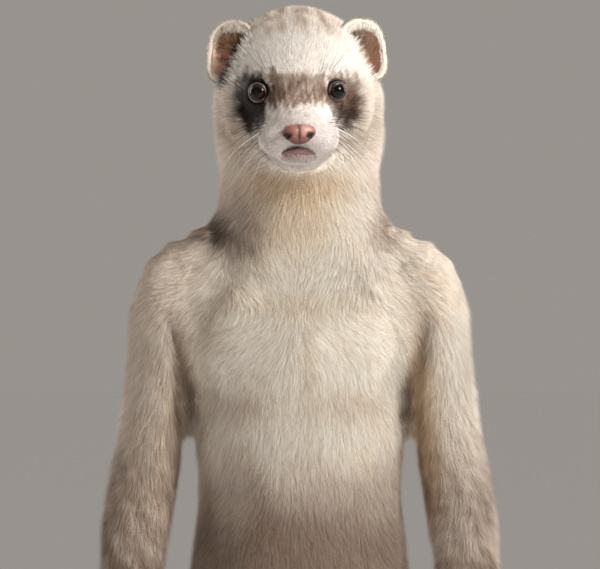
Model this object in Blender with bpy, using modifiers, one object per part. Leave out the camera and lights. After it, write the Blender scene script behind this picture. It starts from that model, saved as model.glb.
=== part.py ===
"""A life-size ferret, standing upright on its hind feet with its forelegs hanging at its sides.

It faces -Y, its left side is at +X, and it stands on z = 0. Every solid reaches out to the tips of the
coat. The flesh is modelled whole, from lofts and ellipsoids that a voxel remesh joins, and is then parted
into named pieces by thin plane cuts. Ears, eyes, nose and claws are pieces of their own. All of it is
modelled with the trunk's middle plane at x = 0, and is moved at the end so that the origin lies at the
middle of the whole ferret's box, on the floor.
"""

import math

import bmesh
import bpy
import numpy as np
from mathutils import Matrix, Vector

MM = 0.001
GAP = 0.3  # between pieces that meet, as every size below in millimetres
SIDES = {"left": 1, "right": -1}

# Driving dimensions
CROWN_HEIGHT = 372.0
HEAD_PITCH = math.radians(22.0)  # nose down
HEAD_ROLL = math.radians(1.0)
HEAD_SHIFT = -0.9  # the head leans a little to its right
HEAD_CENTRE = (0.0, 6.0, CROWN_HEIGHT - 20.0)  # on the skull's axis, between the ears
EYE_RADIUS = 3.9
EYE_CENTRE = (37.6, 14.2, 1.9)  # the left eye and the left ear, in the head's frame
NOSE_CENTRE = (58.4, 0.0, -6.2)
NOSE_HALF_SIZES = (4.2, 6.4, 4.0)
EAR_CENTRE = (0.5, 24.3, 3.2)
EAR_HALF_HEIGHT = 12.6
EAR_HALF_WIDTH = 10.2
EAR_DEPTH = 8.5
EAR_THICKNESS = 1.8
EAR_SQUARENESS = 0.70  # 1 is an oval rim, and less is squarer
EAR_RIM_NARROWING = 0.10
EAR_TURN = math.radians(27.0)  # opened outwards
EAR_LEAN = math.radians(4.0)
EAR_TIP_BACK = math.radians(8.0)

# Toes and claws: the middle of the row of roots, how far the row bends, and each toe's way and sizes
TOE_COUNT = 5
TOES = {
    "fore": {
        "middle": (62.9, -9.6, 146.0),
        "half_row": 7.2,
        "bow": 0.6,
        "way": (0.0, -0.30, -1.0),
        "splay": 0.16,
        "length": 12.0,
        "thickness": 2.6,
        "inner_toe": (0.0, 3.0, 0.72),  # how far back and up it starts, and its share of the length
    },
    "hind": {
        "middle": (37.2, -11.0, 4.2),
        "half_row": 8.8,
        "bow": 1.6,
        "way": (0.10, -1.0, -0.02),
        "splay": 0.13,
        "length": 17.0,
        "thickness": 3.2,
        "inner_toe": (6.0, 0.0, 0.70),
    },
}
LONGEST_TOE = 0.25  # its place in the row, from -1 on the inside to 1 on the outside
TOE_SHORTENING = 0.10
TOE_STATIONS = ((0.0, 1.0), (0.6, 1.06), (0.88, 0.93), (1.0, 0.45))  # share of the length, and thickness
CLAWS = {"fore": (9.0, (0.0, 0.6, -0.8)), "hind": (9.5, (0.0, 0.0, -1.0))}  # length, and the way it curls
CLAW_INSIDE = 3.0  # how much of the claw lies in the toe
CLAW_RISE = 0.9
CLAW_CURL = 0.26
CLAW_FLATTENING = 1.25
CLAW_STATIONS = ((0, 0.30), (0.4, 0.30), (0.75, 0.20), (1.0, 0.09))  # share of the length, and thickness
CLAW_POINTS = 6

# How the flesh is meshed
VOXEL = 1.25
SOFTENING_ROUNDS = 36
SOFTENING = 0.5
FACE_STIFFNESS = 0.62
PAW_STIFFNESS = 0.92
FLESH_TRIANGLES = 5000
RIM_MERGE = 2.4  # points of a cut's rim nearer than this become one
RING_POINTS = 28
LIMB_STEPS = 5  # rings to each span between two stations
SKULL_STEPS = 4
TRUNK_SQUARENESS = 0.92
MASS_SEGMENTS = (24, 16)
EYE_SEGMENTS = (12, 8)
NOSE_SEGMENTS = (16, 10)
EAR_AROUND, EAR_DEEP = 20, 5
EAR_PAST_RIM = 0.12  # how far the bowl closes in past its widest ring, in radians

# Skull and muzzle: place along the head's axis, half width, top, widest line and bottom
SKULL = (
    (-27, 15.0, 6.0, -4, -12.0),
    (-20, 21.5, 14.2, -6, -20.0),
    (-8, 25.4, 19.9, -8, -25.0),
    (6, 26.4, 21.4, -9, -27.0),
    (18, 26.2, 20.0, -9, -28.0),
    (28, 24.0, 16.8, -8, -28.0),
    (36, 19.4, 12.6, -8, -27.5),
    (43, 15.4, 8.2, -9, -26.8),
    (50, 12.2, 4.2, -10, -25.4),
    (55, 10.2, 1.6, -10, -22.6),
    (58.5, 6.8, -1.8, -10, -17.6),
)

# Neck and trunk, from the skull down: height, centre from front to back, half width, half depth
TRUNK = (
    (350, 12.0, 22.0, 17.0),
    (336, 10.5, 31.0, 24.0),
    (326, 9.0, 32.0, 25.5),
    (314, 8.0, 31.0, 27.0),
    (300, 7.5, 31.6, 28.5),
    (286, 7.5, 34.0, 32.0),
    (268, 7.5, 38.0, 35.5),
    (245, 8.0, 41.0, 38.0),
    (226, 8.6, 40.2, 38.3),
    (210, 9.2, 39.2, 38.4),
    (190, 10.0, 38.2, 38.0),
    (165, 10.5, 41.2, 38.5),
    (138, 11.0, 45.0, 40.0),
    (110, 13.0, 46.0, 39.0),
    (86, 17.0, 40.0, 34.0),
    (68, 21.0, 28.0, 25.0),
    (58, 23.0, 14.0, 14.0),
)

# Limbs of the left side: x, y, z, half width, half depth
FORELEG = (
    (30, 8, 280.5, 10.0, 15.0),
    (41.6, 5, 272.6, 14.0, 21.0),
    (48.3, 2, 259.5, 16.1, 23.5),
    (51.2, 1, 240, 14.9, 19.5),
    (54.5, 3, 224, 13.5, 16.4),
    (56.9, 4, 210, 13.0, 15.2),
    (58.9, 3, 196, 13.6, 14.0),
    (61.3, -1, 178, 14.0, 12.4),
    (62.7, -5, 163, 12.9, 9.6),
    (63.0, -7, 151, 10.8, 7.2),
    (63.0, -9, 143, 9.0, 5.6),
)
THIGH = (
    (20, 24, 104, 20.0, 26.0),
    (27, 14, 90, 23.0, 27.0),
    (34, -2, 76, 18.0, 21.0),
    (37, -14, 65, 14.0, 15.0),
    (37, -16, 56, 11.0, 11.0),
)
SHANK = (
    (37, -14, 63, 13.0, 12.0),
    (36, 0, 50, 12.0, 13.0),
    (34, 15, 34, 9.0, 10.0),
    (32, 24, 20, 7.8, 8.6),
    (32, 26, 10, 7.4, 8.0),
)
HIND_FOOT = (
    (31.5, 33, 8.0, 4.0, 5.0),
    (32, 26, 9.4, 8.0, 10.6),
    (33, 14, 8.0, 8.4, 9.2),
    (35, 0, 7.2, 9.8, 8.4),
    (37, -13, 6.2, 11.0, 7.4),
    (37.5, -18, 5.4, 8.0, 5.0),
)
TAIL = (
    (0, 30, 84, 15.0, 15.0),
    (1, 46, 66, 14.5, 15.0),
    (3, 62, 44, 13.8, 14.0),
    (7, 78, 25, 13.6, 13.6),
    (13, 99, 13.4, 13.8, 14.4),
    (23, 121, 11.4, 13.4, 12.6),
    (38, 141, 10.2, 11.8, 11.4),
    (55, 156, 8.4, 8.8, 9.4),
    (69, 164, 5.8, 4.2, 5.8),
)

# Ellipsoids of the head, in its own frame: forwards, sideways, up, and their three half sizes
HEAD_MASSES = {
    "whisker pad": ((50.5, 7.8, -11.4), (8.8, 8.2, 7.4)),
    "cheek": ((20.0, 17.0, -12.0), (16.0, 13.6, 15.0)),
    "jowl": ((8.0, 19.6, -16.0), (18.0, 13.4, 17.0)),
    "brow": ((33.0, 10.8, 5.8), (9.5, 6.8, 4.8)),
    "chin": ((47.0, 3.0, -19.6), (8.2, 7.4, 6.6)),
}
# Ellipsoids of the body's left side, in the model's frame
BODY_MASSES = {
    "shoulder blade": ((27, 20, 262), (17.0, 16.0, 25.0)),
    "breast": ((17, -14.2, 250), (21.0, 14.0, 27.0)),
    "haunch": ((21, 26, 92), (24.0, 23.0, 26.0)),
}

# Where the flesh is parted: a point on each cut, and the way it faces
HEAD_CUT = ((0, 4, 322), (0, -0.56, 0.83))
JAW_CUT_POINT = (57.0, 0.0, -15.2)  # in the head's frame, at the front of the lips
JAW_CUT_TILT = math.radians(9.0)
NECK_CUT = ((0, 8, 290), (0, -0.34, 0.94))
ARM_CUT = ((42.2, 0, 215), (1, 0, 0.09))
ELBOW_CUT = ((55, 4, 207), (0.06, -0.12, 1))
WRIST_CUT = ((62, -5, 160), (0.0, -0.2, 1))
BELLY_CUT = ((0, 10, 186), (0, 0, 1))
RUMP_CUT = ((0, 12, 124), (0, 0, 1))
TAIL_CUT = ((0, 56, 52), (0, 0.95, -0.31))
TAIL_MIDDLE_CUT = ((16, 106, 12), (0.42, 0.9, 0))
HIP_CUT = ((27, 0, 84), (1, 0, -0.22))
KNEE_CUT = ((37, -14, 59), (0, -0.22, 1))
ANKLE_CUT = ((32, 24, 19), (0, 0.12, 1))

FUR_CREAM = (0.72, 0.60, 0.46)
FUR_BROWN = (0.30, 0.21, 0.15)
NOSE_PINK = (0.52, 0.26, 0.20)
EAR_PINK = (0.66, 0.45, 0.36)
EYE_DARK = (0.015, 0.008, 0.006)
CLAW_HORN = (0.42, 0.33, 0.25)


def new_material(name, colour, roughness):
    material = bpy.data.materials.new(name)
    material.use_nodes = True
    shader = material.node_tree.nodes["Principled BSDF"]
    shader.inputs["Base Color"].default_value = (*colour, 1.0)
    shader.inputs["Roughness"].default_value = roughness
    shader.inputs["Metallic"].default_value = 0.0
    return material


def clear_scene():
    for old in list(bpy.data.objects):
        bpy.data.objects.remove(old)


def new_collection(name):
    collection = bpy.data.collections.new(name)
    bpy.context.scene.collection.children.link(collection)
    return collection


def new_object(name, mesh, collection, material=None):
    made = bpy.data.objects.new(name, mesh)
    collection.objects.link(made)
    if material is not None:
        mesh.materials.clear()
        mesh.materials.append(material)
    return made


def as_mesh(name, bm):
    mesh = bpy.data.meshes.new(name)
    bm.to_mesh(mesh)
    bm.free()
    return mesh


def evaluated_mesh(obj):
    graph = bpy.context.evaluated_depsgraph_get()
    return bpy.data.meshes.new_from_object(obj.evaluated_get(graph))


def through(stations, steps):
    """Rows between the stations, on a Catmull-Rom curve through them, with steps rows to each span."""
    rows = np.array(stations, float)
    rows = np.vstack([2 * rows[0] - rows[1], rows, 2 * rows[-1] - rows[-2]])
    t = np.linspace(0, 1, steps, endpoint=False)[:, None]
    spans = []
    for a, b, c, d in zip(rows, rows[1:], rows[2:], rows[3:]):
        spans.append(
            0.5 * (2 * b + (c - a) * t + (2 * a - 5 * b + 4 * c - d) * t**2 + (3 * b - a - 3 * c + d) * t**3)
        )
    return np.vstack(spans + [rows[-2:-1]])


def loft(bm, rings):
    """Adds one closed skin over rings of points, each ring with as many points, in millimetres."""
    rows = [[bm.verts.new(Vector(point) * MM) for point in ring] for ring in rings]
    for ring, after in zip(rows, rows[1:]):
        for i in range(len(ring)):
            j = (i + 1) % len(ring)
            bm.faces.new((ring[i], ring[j], after[j], after[i]))
    bm.faces.new(list(reversed(rows[0])))
    bm.faces.new(rows[-1])


def round_the_ring(points=RING_POINTS):
    angle = np.linspace(0, 2 * math.pi, points, endpoint=False)
    return np.cos(angle), np.sin(angle)


def add_limb(bm, stations, side=1, points=RING_POINTS, steps=LIMB_STEPS):
    """A limb of oval rings across its path. The ring's width lies along X, as far as the path lets it."""
    cos, sin = round_the_ring(points)
    rows = through(stations, steps)
    rows[:, 0] *= side
    paths = np.gradient(rows[:, :3], axis=0)
    rings = []
    for row, path in zip(rows, paths):
        path = path / np.linalg.norm(path)
        across = np.array((1.0, 0.0, 0.0)) - path[0] * path
        across /= np.linalg.norm(across)
        deep = np.cross(path, across)
        rings.append(row[:3] + np.outer(cos * row[3], across) + np.outer(sin * row[4], deep))
    loft(bm, rings)


def add_trunk(bm):
    """Neck and trunk, of level oval rings that are a little squarer than an ellipse."""
    cos, sin = round_the_ring()
    rings = []
    for height, centre, width, depth in through(TRUNK, LIMB_STEPS):
        x = width * np.sign(cos) * np.abs(cos) ** TRUNK_SQUARENESS
        y = centre + depth * np.sign(sin) * np.abs(sin) ** TRUNK_SQUARENESS
        rings.append(np.column_stack([x, y, np.full(len(x), height)]))
    loft(bm, rings)


def head_frame():
    """The matrix from the head's frame, forwards, sideways and up, to the model's frame, in millimetres."""
    forwards = Vector((0, -math.cos(HEAD_PITCH), -math.sin(HEAD_PITCH)))
    upwards = Vector((0, -math.sin(HEAD_PITCH), math.cos(HEAD_PITCH)))
    turn = Matrix((forwards, (1, 0, 0), upwards)).transposed().to_4x4()
    roll = Matrix.Rotation(-HEAD_ROLL, 4, "Y")
    centre = Vector(HEAD_CENTRE) + Vector((HEAD_SHIFT, 0, 0))
    return Matrix.Translation(centre) @ roll @ turn


def add_skull(bm):
    """The head's loft: each ring is half an ellipse above the widest line and half a deeper one below it."""
    cos, sin = round_the_ring()
    frame = np.array(head_frame())
    rings = []
    for place, width, top, middle, bottom in through(SKULL, SKULL_STEPS):
        up = middle + np.where(sin > 0, sin * (top - middle), sin * (middle - bottom))
        ring = np.column_stack([np.full(len(up), place), width * cos, up])
        rings.append(ring @ frame[:3, :3].T + frame[:3, 3])
    loft(bm, rings)


def add_mass(bm, centre, half_sizes, side, frame=None):
    """An ellipsoid, on one side of the body or of the head."""
    place = Vector(centre)
    sideways = 0 if frame is None else 1
    place[sideways] *= side
    matrix = Matrix.Translation(place) @ Matrix.Diagonal((*half_sizes, 1.0))
    if frame is not None:
        matrix = frame @ matrix
    matrix = Matrix.Diagonal((MM, MM, MM, 1.0)) @ matrix
    around, high = MASS_SEGMENTS
    bmesh.ops.create_uvsphere(bm, u_segments=around, v_segments=high, radius=1.0, matrix=matrix)


def toe_roots(paw):
    """For each toe of a left paw: its root, its tip, its thickness and the way its claw grows.

    The first toe is the inner one. It is shorter, and starts further back.
    """
    toes = TOES[paw]
    found = []
    for i in range(TOE_COUNT):
        place = 2 * i / (TOE_COUNT - 1) - 1  # -1 on the inside, 1 on the outside
        root = Vector(toes["middle"]) + Vector((toes["half_row"] * place, toes["bow"] * place**2, 0))
        way = (Vector(toes["way"]) + Vector((toes["splay"] * place, 0, 0))).normalized()
        share = 1.0 - TOE_SHORTENING * abs(place - LONGEST_TOE)
        if i == 0:
            back, up, share = toes["inner_toe"]
            root += Vector((0, back, up))
        found.append((root, root + way * toes["length"] * share, toes["thickness"], way))
    return found


def add_toes(bm, paw, side):
    for root, tip, thickness, _way in toe_roots(paw):
        stations = [
            (*root.lerp(tip, share), thickness * girth, thickness * girth) for share, girth in TOE_STATIONS
        ]
        add_limb(bm, stations, side)


def softness(points):
    """How much each point of the flesh is smoothed: all of it on the body, less on the face and paws."""
    sideways, lengthways, height = np.abs(points[:, 0]) / MM, points[:, 1] / MM, points[:, 2] / MM
    face = np.clip((height - 305) / 12, 0, 1) * np.clip((2 - lengthways) / 20, 0, 1)
    fore_paw = (sideways > 48) * (height > 120) * np.clip((160 - height) / 10, 0, 1)
    hind_paw = np.clip((22 - height) / 12, 0, 1) * (lengthways < 40)
    return 1 - FACE_STIFFNESS * face - PAW_STIFFNESS * np.maximum(fore_paw, hind_paw)


def whole_flesh(helpers):
    """Head, trunk, limbs and tail as one closed mesh, softened where the masses run together."""
    bm = bmesh.new()
    add_trunk(bm)
    add_skull(bm)
    add_limb(bm, TAIL)
    frame = head_frame()
    for side in SIDES.values():
        for stations in (FORELEG, THIGH, SHANK, HIND_FOOT):
            add_limb(bm, stations, side)
        for paw in ("fore", "hind"):
            add_toes(bm, paw, side)
        for centre, half_sizes in HEAD_MASSES.values():
            add_mass(bm, centre, half_sizes, side, frame)
        for centre, half_sizes in BODY_MASSES.values():
            add_mass(bm, centre, half_sizes, side)
    bmesh.ops.recalc_face_normals(bm, faces=bm.faces)
    rough = new_object("rough_flesh", as_mesh("rough_flesh", bm), helpers)
    rough.hide_render = True
    remesh = rough.modifiers.new("Join", "REMESH")
    remesh.mode = "VOXEL"
    remesh.voxel_size = VOXEL * MM
    joined = evaluated_mesh(rough)

    soft = new_object("soft_flesh", joined, helpers)
    soft.hide_render = True
    points = np.empty(len(joined.vertices) * 3, np.float32)
    joined.vertices.foreach_get("co", points)
    weights = softness(points.reshape(-1, 3)).round(2)
    group = soft.vertex_groups.new(name="softness")
    for weight in np.unique(weights):
        group.add(np.flatnonzero(weights == weight).tolist(), float(weight), "REPLACE")
    smooth = soft.modifiers.new("Soften", "SMOOTH")
    smooth.factor = SOFTENING
    smooth.iterations = SOFTENING_ROUNDS
    smooth.vertex_group = group.name
    thin = soft.modifiers.new("Thin", "DECIMATE")
    thin.ratio = FLESH_TRIANGLES / (2 * len(joined.polygons))
    return evaluated_mesh(soft)


def half(mesh, point, normal, keep):
    """A copy of the mesh on one side of a plane, capped, and standing back from it by half the gap."""
    normal = Vector(normal).normalized() * keep
    bm = bmesh.new()
    bm.from_mesh(mesh)
    cut = bmesh.ops.bisect_plane(
        bm,
        geom=list(bm.verts) + list(bm.edges) + list(bm.faces),
        dist=1e-7,
        plane_co=(Vector(point) + normal * GAP / 2) * MM,
        plane_no=normal,
        clear_inner=True,
    )
    corners = [item for item in cut["geom_cut"] if isinstance(item, bmesh.types.BMVert)]
    bmesh.ops.remove_doubles(bm, verts=corners, dist=RIM_MERGE * MM)
    rim = [edge for edge in bm.edges if edge.is_boundary]
    bmesh.ops.contextual_create(bm, geom=rim)
    bmesh.ops.triangulate(bm, faces=[face for face in bm.faces if len(face.verts) > 4])
    return as_mesh(mesh.name, bm)


def parted(mesh, cut, side=1):
    """The two pieces of a mesh past a cut: the one that the cut faces, and the other."""
    (x, y, z), (nx, ny, nz) = cut
    point, normal = (x * side, y, z), (nx * side, ny, nz)
    return half(mesh, point, normal, 1), half(mesh, point, normal, -1)


def part_flesh(flesh):
    """Cuts the whole flesh into the pieces of the body that a person names."""
    pieces = {}
    torso, lower = parted(flesh, RUMP_CUT)
    above, body = parted(torso, NECK_CUT)
    skull, pieces["neck"] = parted(above, HEAD_CUT)
    frame = head_frame()
    tilt = Vector((-math.sin(JAW_CUT_TILT), 0, math.cos(JAW_CUT_TILT)))
    jaw_cut = (tuple(frame @ Vector(JAW_CUT_POINT)), tuple(frame.to_3x3() @ tilt))
    pieces["head"], pieces["jaw"] = parted(skull, jaw_cut)
    for name, side in SIDES.items():
        arm, body = parted(body, ARM_CUT, side)
        pieces[f"upper_arm_{name}"], below = parted(arm, ELBOW_CUT, side)
        pieces[f"forearm_{name}"], pieces[f"forepaw_{name}"] = parted(below, WRIST_CUT, side)
    pieces["chest"], pieces["belly"] = parted(body, BELLY_CUT)
    tail, lower = parted(lower, TAIL_CUT)
    tail_end, tail_base = parted(tail, TAIL_MIDDLE_CUT)
    pieces["tail_base"], pieces["tail_end"] = on_the_floor(tail_base), on_the_floor(tail_end)
    for name, side in SIDES.items():
        leg, lower = parted(lower, HIP_CUT, side)
        pieces[f"thigh_{name}"], below = parted(leg, KNEE_CUT, side)
        pieces[f"shank_{name}"], foot = parted(below, ANKLE_CUT, side)
        pieces[f"hind_foot_{name}"] = on_the_floor(foot)
    pieces["rump"] = lower
    return pieces


def on_the_floor(mesh):
    """The mesh cut flat at the floor, so that the piece rests on a small flat."""
    return half(mesh, (0, 0, -GAP / 2), (0, 0, 1), 1)


def swollen(mesh, by):
    """A copy of a mesh with every point moved out along its normal, as a cutter that leaves a gap."""
    grown = mesh.copy()
    count = len(grown.vertices)
    points, normals = np.empty(count * 3, np.float32), np.empty(count * 3, np.float32)
    grown.vertices.foreach_get("co", points)
    grown.vertex_normals.foreach_get("vector", normals)
    grown.vertices.foreach_set("co", points + normals * by * MM)
    grown.update()
    return grown


def cut_from(piece, cutter, helpers):
    """Leaves the cutter out of a piece, with a live Boolean."""
    cutter.hide_render = True
    cutter.display_type = "WIRE"
    if cutter.name not in helpers.objects:
        helpers.objects.link(cutter)
    boolean = piece.modifiers.new(f"Leave_{cutter.name}", "BOOLEAN")
    boolean.operation = "DIFFERENCE"
    boolean.object = cutter


def ear_mesh(name, side):
    """The ear: a bowl that opens forwards and outwards, its wall as thick as the ear with its short fur."""
    angle = np.linspace(0, 2 * math.pi, EAR_AROUND, endpoint=False)
    cos, sin = np.cos(angle), np.sin(angle)
    across = EAR_HALF_WIDTH * np.sign(cos) * np.abs(cos) ** EAR_SQUARENESS
    along = EAR_HALF_HEIGHT * np.sign(sin) * np.abs(sin) ** EAR_SQUARENESS
    bm = bmesh.new()
    rings = []
    for j in range(1, EAR_DEEP + 1):
        turn = (math.pi / 2 + EAR_PAST_RIM) * j / EAR_DEEP
        out = math.sin(turn) * (1.0 - EAR_RIM_NARROWING * (j == EAR_DEEP))
        back = EAR_DEPTH * math.cos(turn)
        rings.append([bm.verts.new((x * out, back, z * out)) for x, z in zip(across, along)])
    pole = bm.verts.new((0, EAR_DEPTH, 0))
    for i in range(EAR_AROUND):
        j = (i + 1) % EAR_AROUND
        bm.faces.new((pole, rings[0][j], rings[0][i]))
        for ring, after in zip(rings, rings[1:]):
            bm.faces.new((ring[i], ring[j], after[j], after[i]))
    lean = Matrix.Rotation(-side * EAR_LEAN, 4, "Y")
    open_out = Matrix.Rotation(side * EAR_TURN, 4, "Z")
    tip_back = Matrix.Rotation(-EAR_TIP_BACK, 4, "X")
    forwards, sideways, upwards = EAR_CENTRE
    place = head_frame() @ Vector((forwards, side * sideways, upwards))
    matrix = Matrix.Translation(place) @ open_out @ tip_back @ lean
    bmesh.ops.transform(bm, matrix=Matrix.Diagonal((MM, MM, MM, 1.0)) @ matrix, verts=bm.verts)
    bmesh.ops.recalc_face_normals(bm, faces=bm.faces)
    return as_mesh(name, bm)


def make_ear(name, side, skull, parts, helpers, material):
    ear = new_object(f"ear_{name}", ear_mesh(f"ear_{name}", side), parts, material)
    wall = ear.modifiers.new("Wall", "SOLIDIFY")
    wall.thickness = EAR_THICKNESS * MM
    wall.offset = 0.0
    cut_from(ear, skull, helpers)
    return ear


def eye_place(side):
    """The centre of an eye, in the model's frame."""
    forwards, sideways, upwards = EYE_CENTRE
    return head_frame() @ Vector((forwards, side * sideways, upwards))


def make_eye(name, side, parts, helpers, head, material):
    """An eyeball, and its socket in the head."""
    around, high = EYE_SEGMENTS
    for role, radius, home in (("eye", EYE_RADIUS, parts), ("socket", EYE_RADIUS + GAP, helpers)):
        bm = bmesh.new()
        place = Matrix.Translation(eye_place(side) * MM)
        bmesh.ops.create_uvsphere(bm, u_segments=around, v_segments=high, radius=radius * MM, matrix=place)
        made = new_object(f"{role}_{name}", as_mesh(f"{role}_{name}", bm), home, material)
        if role == "socket":
            cut_from(head, made, helpers)


def make_nose(skull, parts, helpers, material):
    """The bare nose pad: a wide, short pillow on the end of the muzzle."""
    bm = bmesh.new()
    place = head_frame() @ Matrix.Translation(NOSE_CENTRE) @ Matrix.Diagonal((*NOSE_HALF_SIZES, 1.0))
    matrix = Matrix.Diagonal((MM, MM, MM, 1.0)) @ place
    around, high = NOSE_SEGMENTS
    bmesh.ops.create_uvsphere(bm, u_segments=around, v_segments=high, radius=1.0, matrix=matrix)
    nose = new_object("nose", as_mesh("nose", bm), parts, material)
    cut_from(nose, skull, helpers)


def make_claws(paw, name, side, flesh, parts, helpers, material):
    """Five claws: each is a curved cone that starts inside the toe's tip and bends downwards."""
    length, curl = CLAWS[paw]
    down = Vector(curl)
    for number, (_root, tip, thickness, way) in enumerate(toe_roots(paw), 1):
        start = tip - way * CLAW_INSIDE - down * CLAW_RISE
        stations = []
        for share, girth in CLAW_STATIONS:
            centre = start + way * (length * share) + down * (CLAW_CURL * length * share**2)
            stations.append((*centre, thickness * girth, thickness * girth * CLAW_FLATTENING))
        bm = bmesh.new()
        add_limb(bm, stations, side, CLAW_POINTS, 1)
        bmesh.ops.recalc_face_normals(bm, faces=bm.faces)
        claw = new_object(f"claw_{paw}_{name}_{number}", as_mesh("claw", bm), parts, material)
        cut_from(claw, flesh, helpers)


def put_origin_under_middle(parts, helpers):
    """Moves everything along the floor, so that the origin is under the middle of the ferret's box."""
    graph = bpy.context.evaluated_depsgraph_get()
    corners = np.array([corner for obj in parts.objects for corner in obj.evaluated_get(graph).bound_box])
    middle = (corners.min(axis=0) + corners.max(axis=0)) / 2
    for collection in (parts, helpers):
        for obj in collection.objects:
            obj.location = (-middle[0], -middle[1], 0.0)


def main():
    clear_scene()
    parts = new_collection("ferret")
    helpers = new_collection("helpers")
    cream = new_material("fur_cream", FUR_CREAM, 0.75)
    brown = new_material("fur_brown", FUR_BROWN, 0.75)
    pink = new_material("nose_skin", NOSE_PINK, 0.4)
    ear_skin = new_material("ear_skin", EAR_PINK, 0.6)
    dark = new_material("eye", EYE_DARK, 0.08)
    horn = new_material("claw", CLAW_HORN, 0.4)

    flesh = whole_flesh(helpers)
    flesh.name = "flesh"
    cutter = new_object("flesh_cutter", swollen(flesh, GAP), helpers)
    pieces = {}
    for name, mesh in part_flesh(flesh).items():
        mesh.name = name
        dark_point = name.startswith(("tail", "hind_foot", "shank"))
        pieces[name] = new_object(name, mesh, parts, brown if dark_point else cream)
    for name, side in SIDES.items():
        make_ear(name, side, cutter, parts, helpers, ear_skin)
        make_eye(name, side, parts, helpers, pieces["head"], dark)
        for paw in ("fore", "hind"):
            make_claws(paw, name, side, cutter, parts, helpers, horn)
    make_nose(cutter, parts, helpers, pink)
    for obj in parts.objects:
        obj.data.shade_smooth()
    put_origin_under_middle(parts, helpers)


main()
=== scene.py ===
"""The looks of a life-size ferret that stands upright on its hind feet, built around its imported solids.

Lengths are in millimetres until a mesh is written. Points are worked out in the frame of the solids' own
making, whose trunk has its middle plane at x = 0; MAKERS_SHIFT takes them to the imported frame.
"""

import bmesh
import bpy
import numpy as np
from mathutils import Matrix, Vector


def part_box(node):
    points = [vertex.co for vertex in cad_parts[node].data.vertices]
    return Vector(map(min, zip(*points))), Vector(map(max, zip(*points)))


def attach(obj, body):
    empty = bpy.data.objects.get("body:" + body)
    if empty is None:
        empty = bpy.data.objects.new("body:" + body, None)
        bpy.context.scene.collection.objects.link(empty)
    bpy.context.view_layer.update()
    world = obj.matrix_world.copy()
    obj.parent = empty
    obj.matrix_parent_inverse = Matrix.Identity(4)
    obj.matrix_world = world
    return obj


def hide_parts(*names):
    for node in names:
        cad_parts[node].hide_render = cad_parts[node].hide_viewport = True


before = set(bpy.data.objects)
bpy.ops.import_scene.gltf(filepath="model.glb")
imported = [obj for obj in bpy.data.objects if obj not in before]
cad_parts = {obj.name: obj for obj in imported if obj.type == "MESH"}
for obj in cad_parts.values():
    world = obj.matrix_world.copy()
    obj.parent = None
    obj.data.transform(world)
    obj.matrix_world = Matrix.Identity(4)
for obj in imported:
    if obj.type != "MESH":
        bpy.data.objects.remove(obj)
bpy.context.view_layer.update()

# Camera. A long lens, level with the middle of the photograph, straight in front of the animal: at the
# plane of its ears and shoulders the picture is 225 mm wide.
SUBJECT_PLANE, CAMERA_DISTANCE, CAMERA_HEIGHT, PICTURE_WIDTH = -58.0, 4500.0, 267.9, 225.0
lens = bpy.data.cameras.new("camera")
lens.sensor_width, lens.sensor_fit = 36.0, "HORIZONTAL"
lens.lens = lens.sensor_width * CAMERA_DISTANCE / PICTURE_WIDTH
lens.clip_start, lens.clip_end = 0.05, 60.0
camera = bpy.data.objects.new("camera", lens)
camera.location = (0.0002, (SUBJECT_PLANE - CAMERA_DISTANCE) / 1000, CAMERA_HEIGHT / 1000)
camera.rotation_euler = (np.pi / 2, 0, 0)
bpy.context.scene.collection.objects.link(camera)
bpy.context.scene.camera = camera
bpy.context.scene.view_settings.view_transform = "Standard"


# Studio. A plain pale floor under a pale, even sky, with a soft box in front, a fill on the other side and
# two strips behind that catch the tips of the coat.
def linear(*colours):
    """sRGB colours of 0 to 255 as rows of linear red, green and blue: the standard's power curve, whole arrays at a time."""
    share = np.array(colours, float) / 255
    return np.where(share <= 0.04045, share / 12.92, ((share + 0.055) / 1.055) ** 2.4)


def nodes_of(material):
    """The node tree of a new material, its shader, and a shorthand that adds a node and links it."""
    material.use_nodes = True
    tree = material.node_tree

    def add(kind, inputs=(), **settings):
        node = tree.nodes.new(kind)
        for key, value in settings.items():
            setattr(node, key, value)
        for key, value in dict(inputs).items():
            if isinstance(value, bpy.types.NodeSocket):
                tree.links.new(value, node.inputs[key])
            else:
                node.inputs[key].default_value = value
        return node

    return tree.nodes["Principled BSDF"], add, tree.links.new


def disc(radius, around=96):
    """Points and faces of a flat fan: one middle point and a ring at equal angles."""
    angle = np.arange(around) * 2 * np.pi / around
    ring = np.stack([radius * np.cos(angle), radius * np.sin(angle), 0 * angle], 1)
    turn = np.arange(around)
    return np.vstack([[(0, 0, 0)], ring]), np.stack([0 * turn, turn + 1, (turn + 1) % around + 1], 1)


def new_piece(name, points, faces, smooth=True):
    """An object whose mesh holds these points, in metres, and these faces, all with as many corners."""
    mesh = bpy.data.meshes.new(name)
    count, corners = faces.shape
    mesh.vertices.add(len(points))
    mesh.vertices.foreach_set("co", np.ascontiguousarray(points, np.float32).ravel())
    mesh.loops.add(faces.size)
    mesh.loops.foreach_set("vertex_index", np.ascontiguousarray(faces, np.int32).ravel())
    mesh.polygons.add(count)
    mesh.polygons.foreach_set("loop_start", np.arange(count, dtype=np.int32) * corners)
    mesh.polygons.foreach_set("use_smooth", np.full(count, smooth))
    mesh.update(calc_edges=True)
    made = bpy.data.objects.new(name, mesh)
    bpy.context.scene.collection.objects.link(made)
    return made


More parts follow.
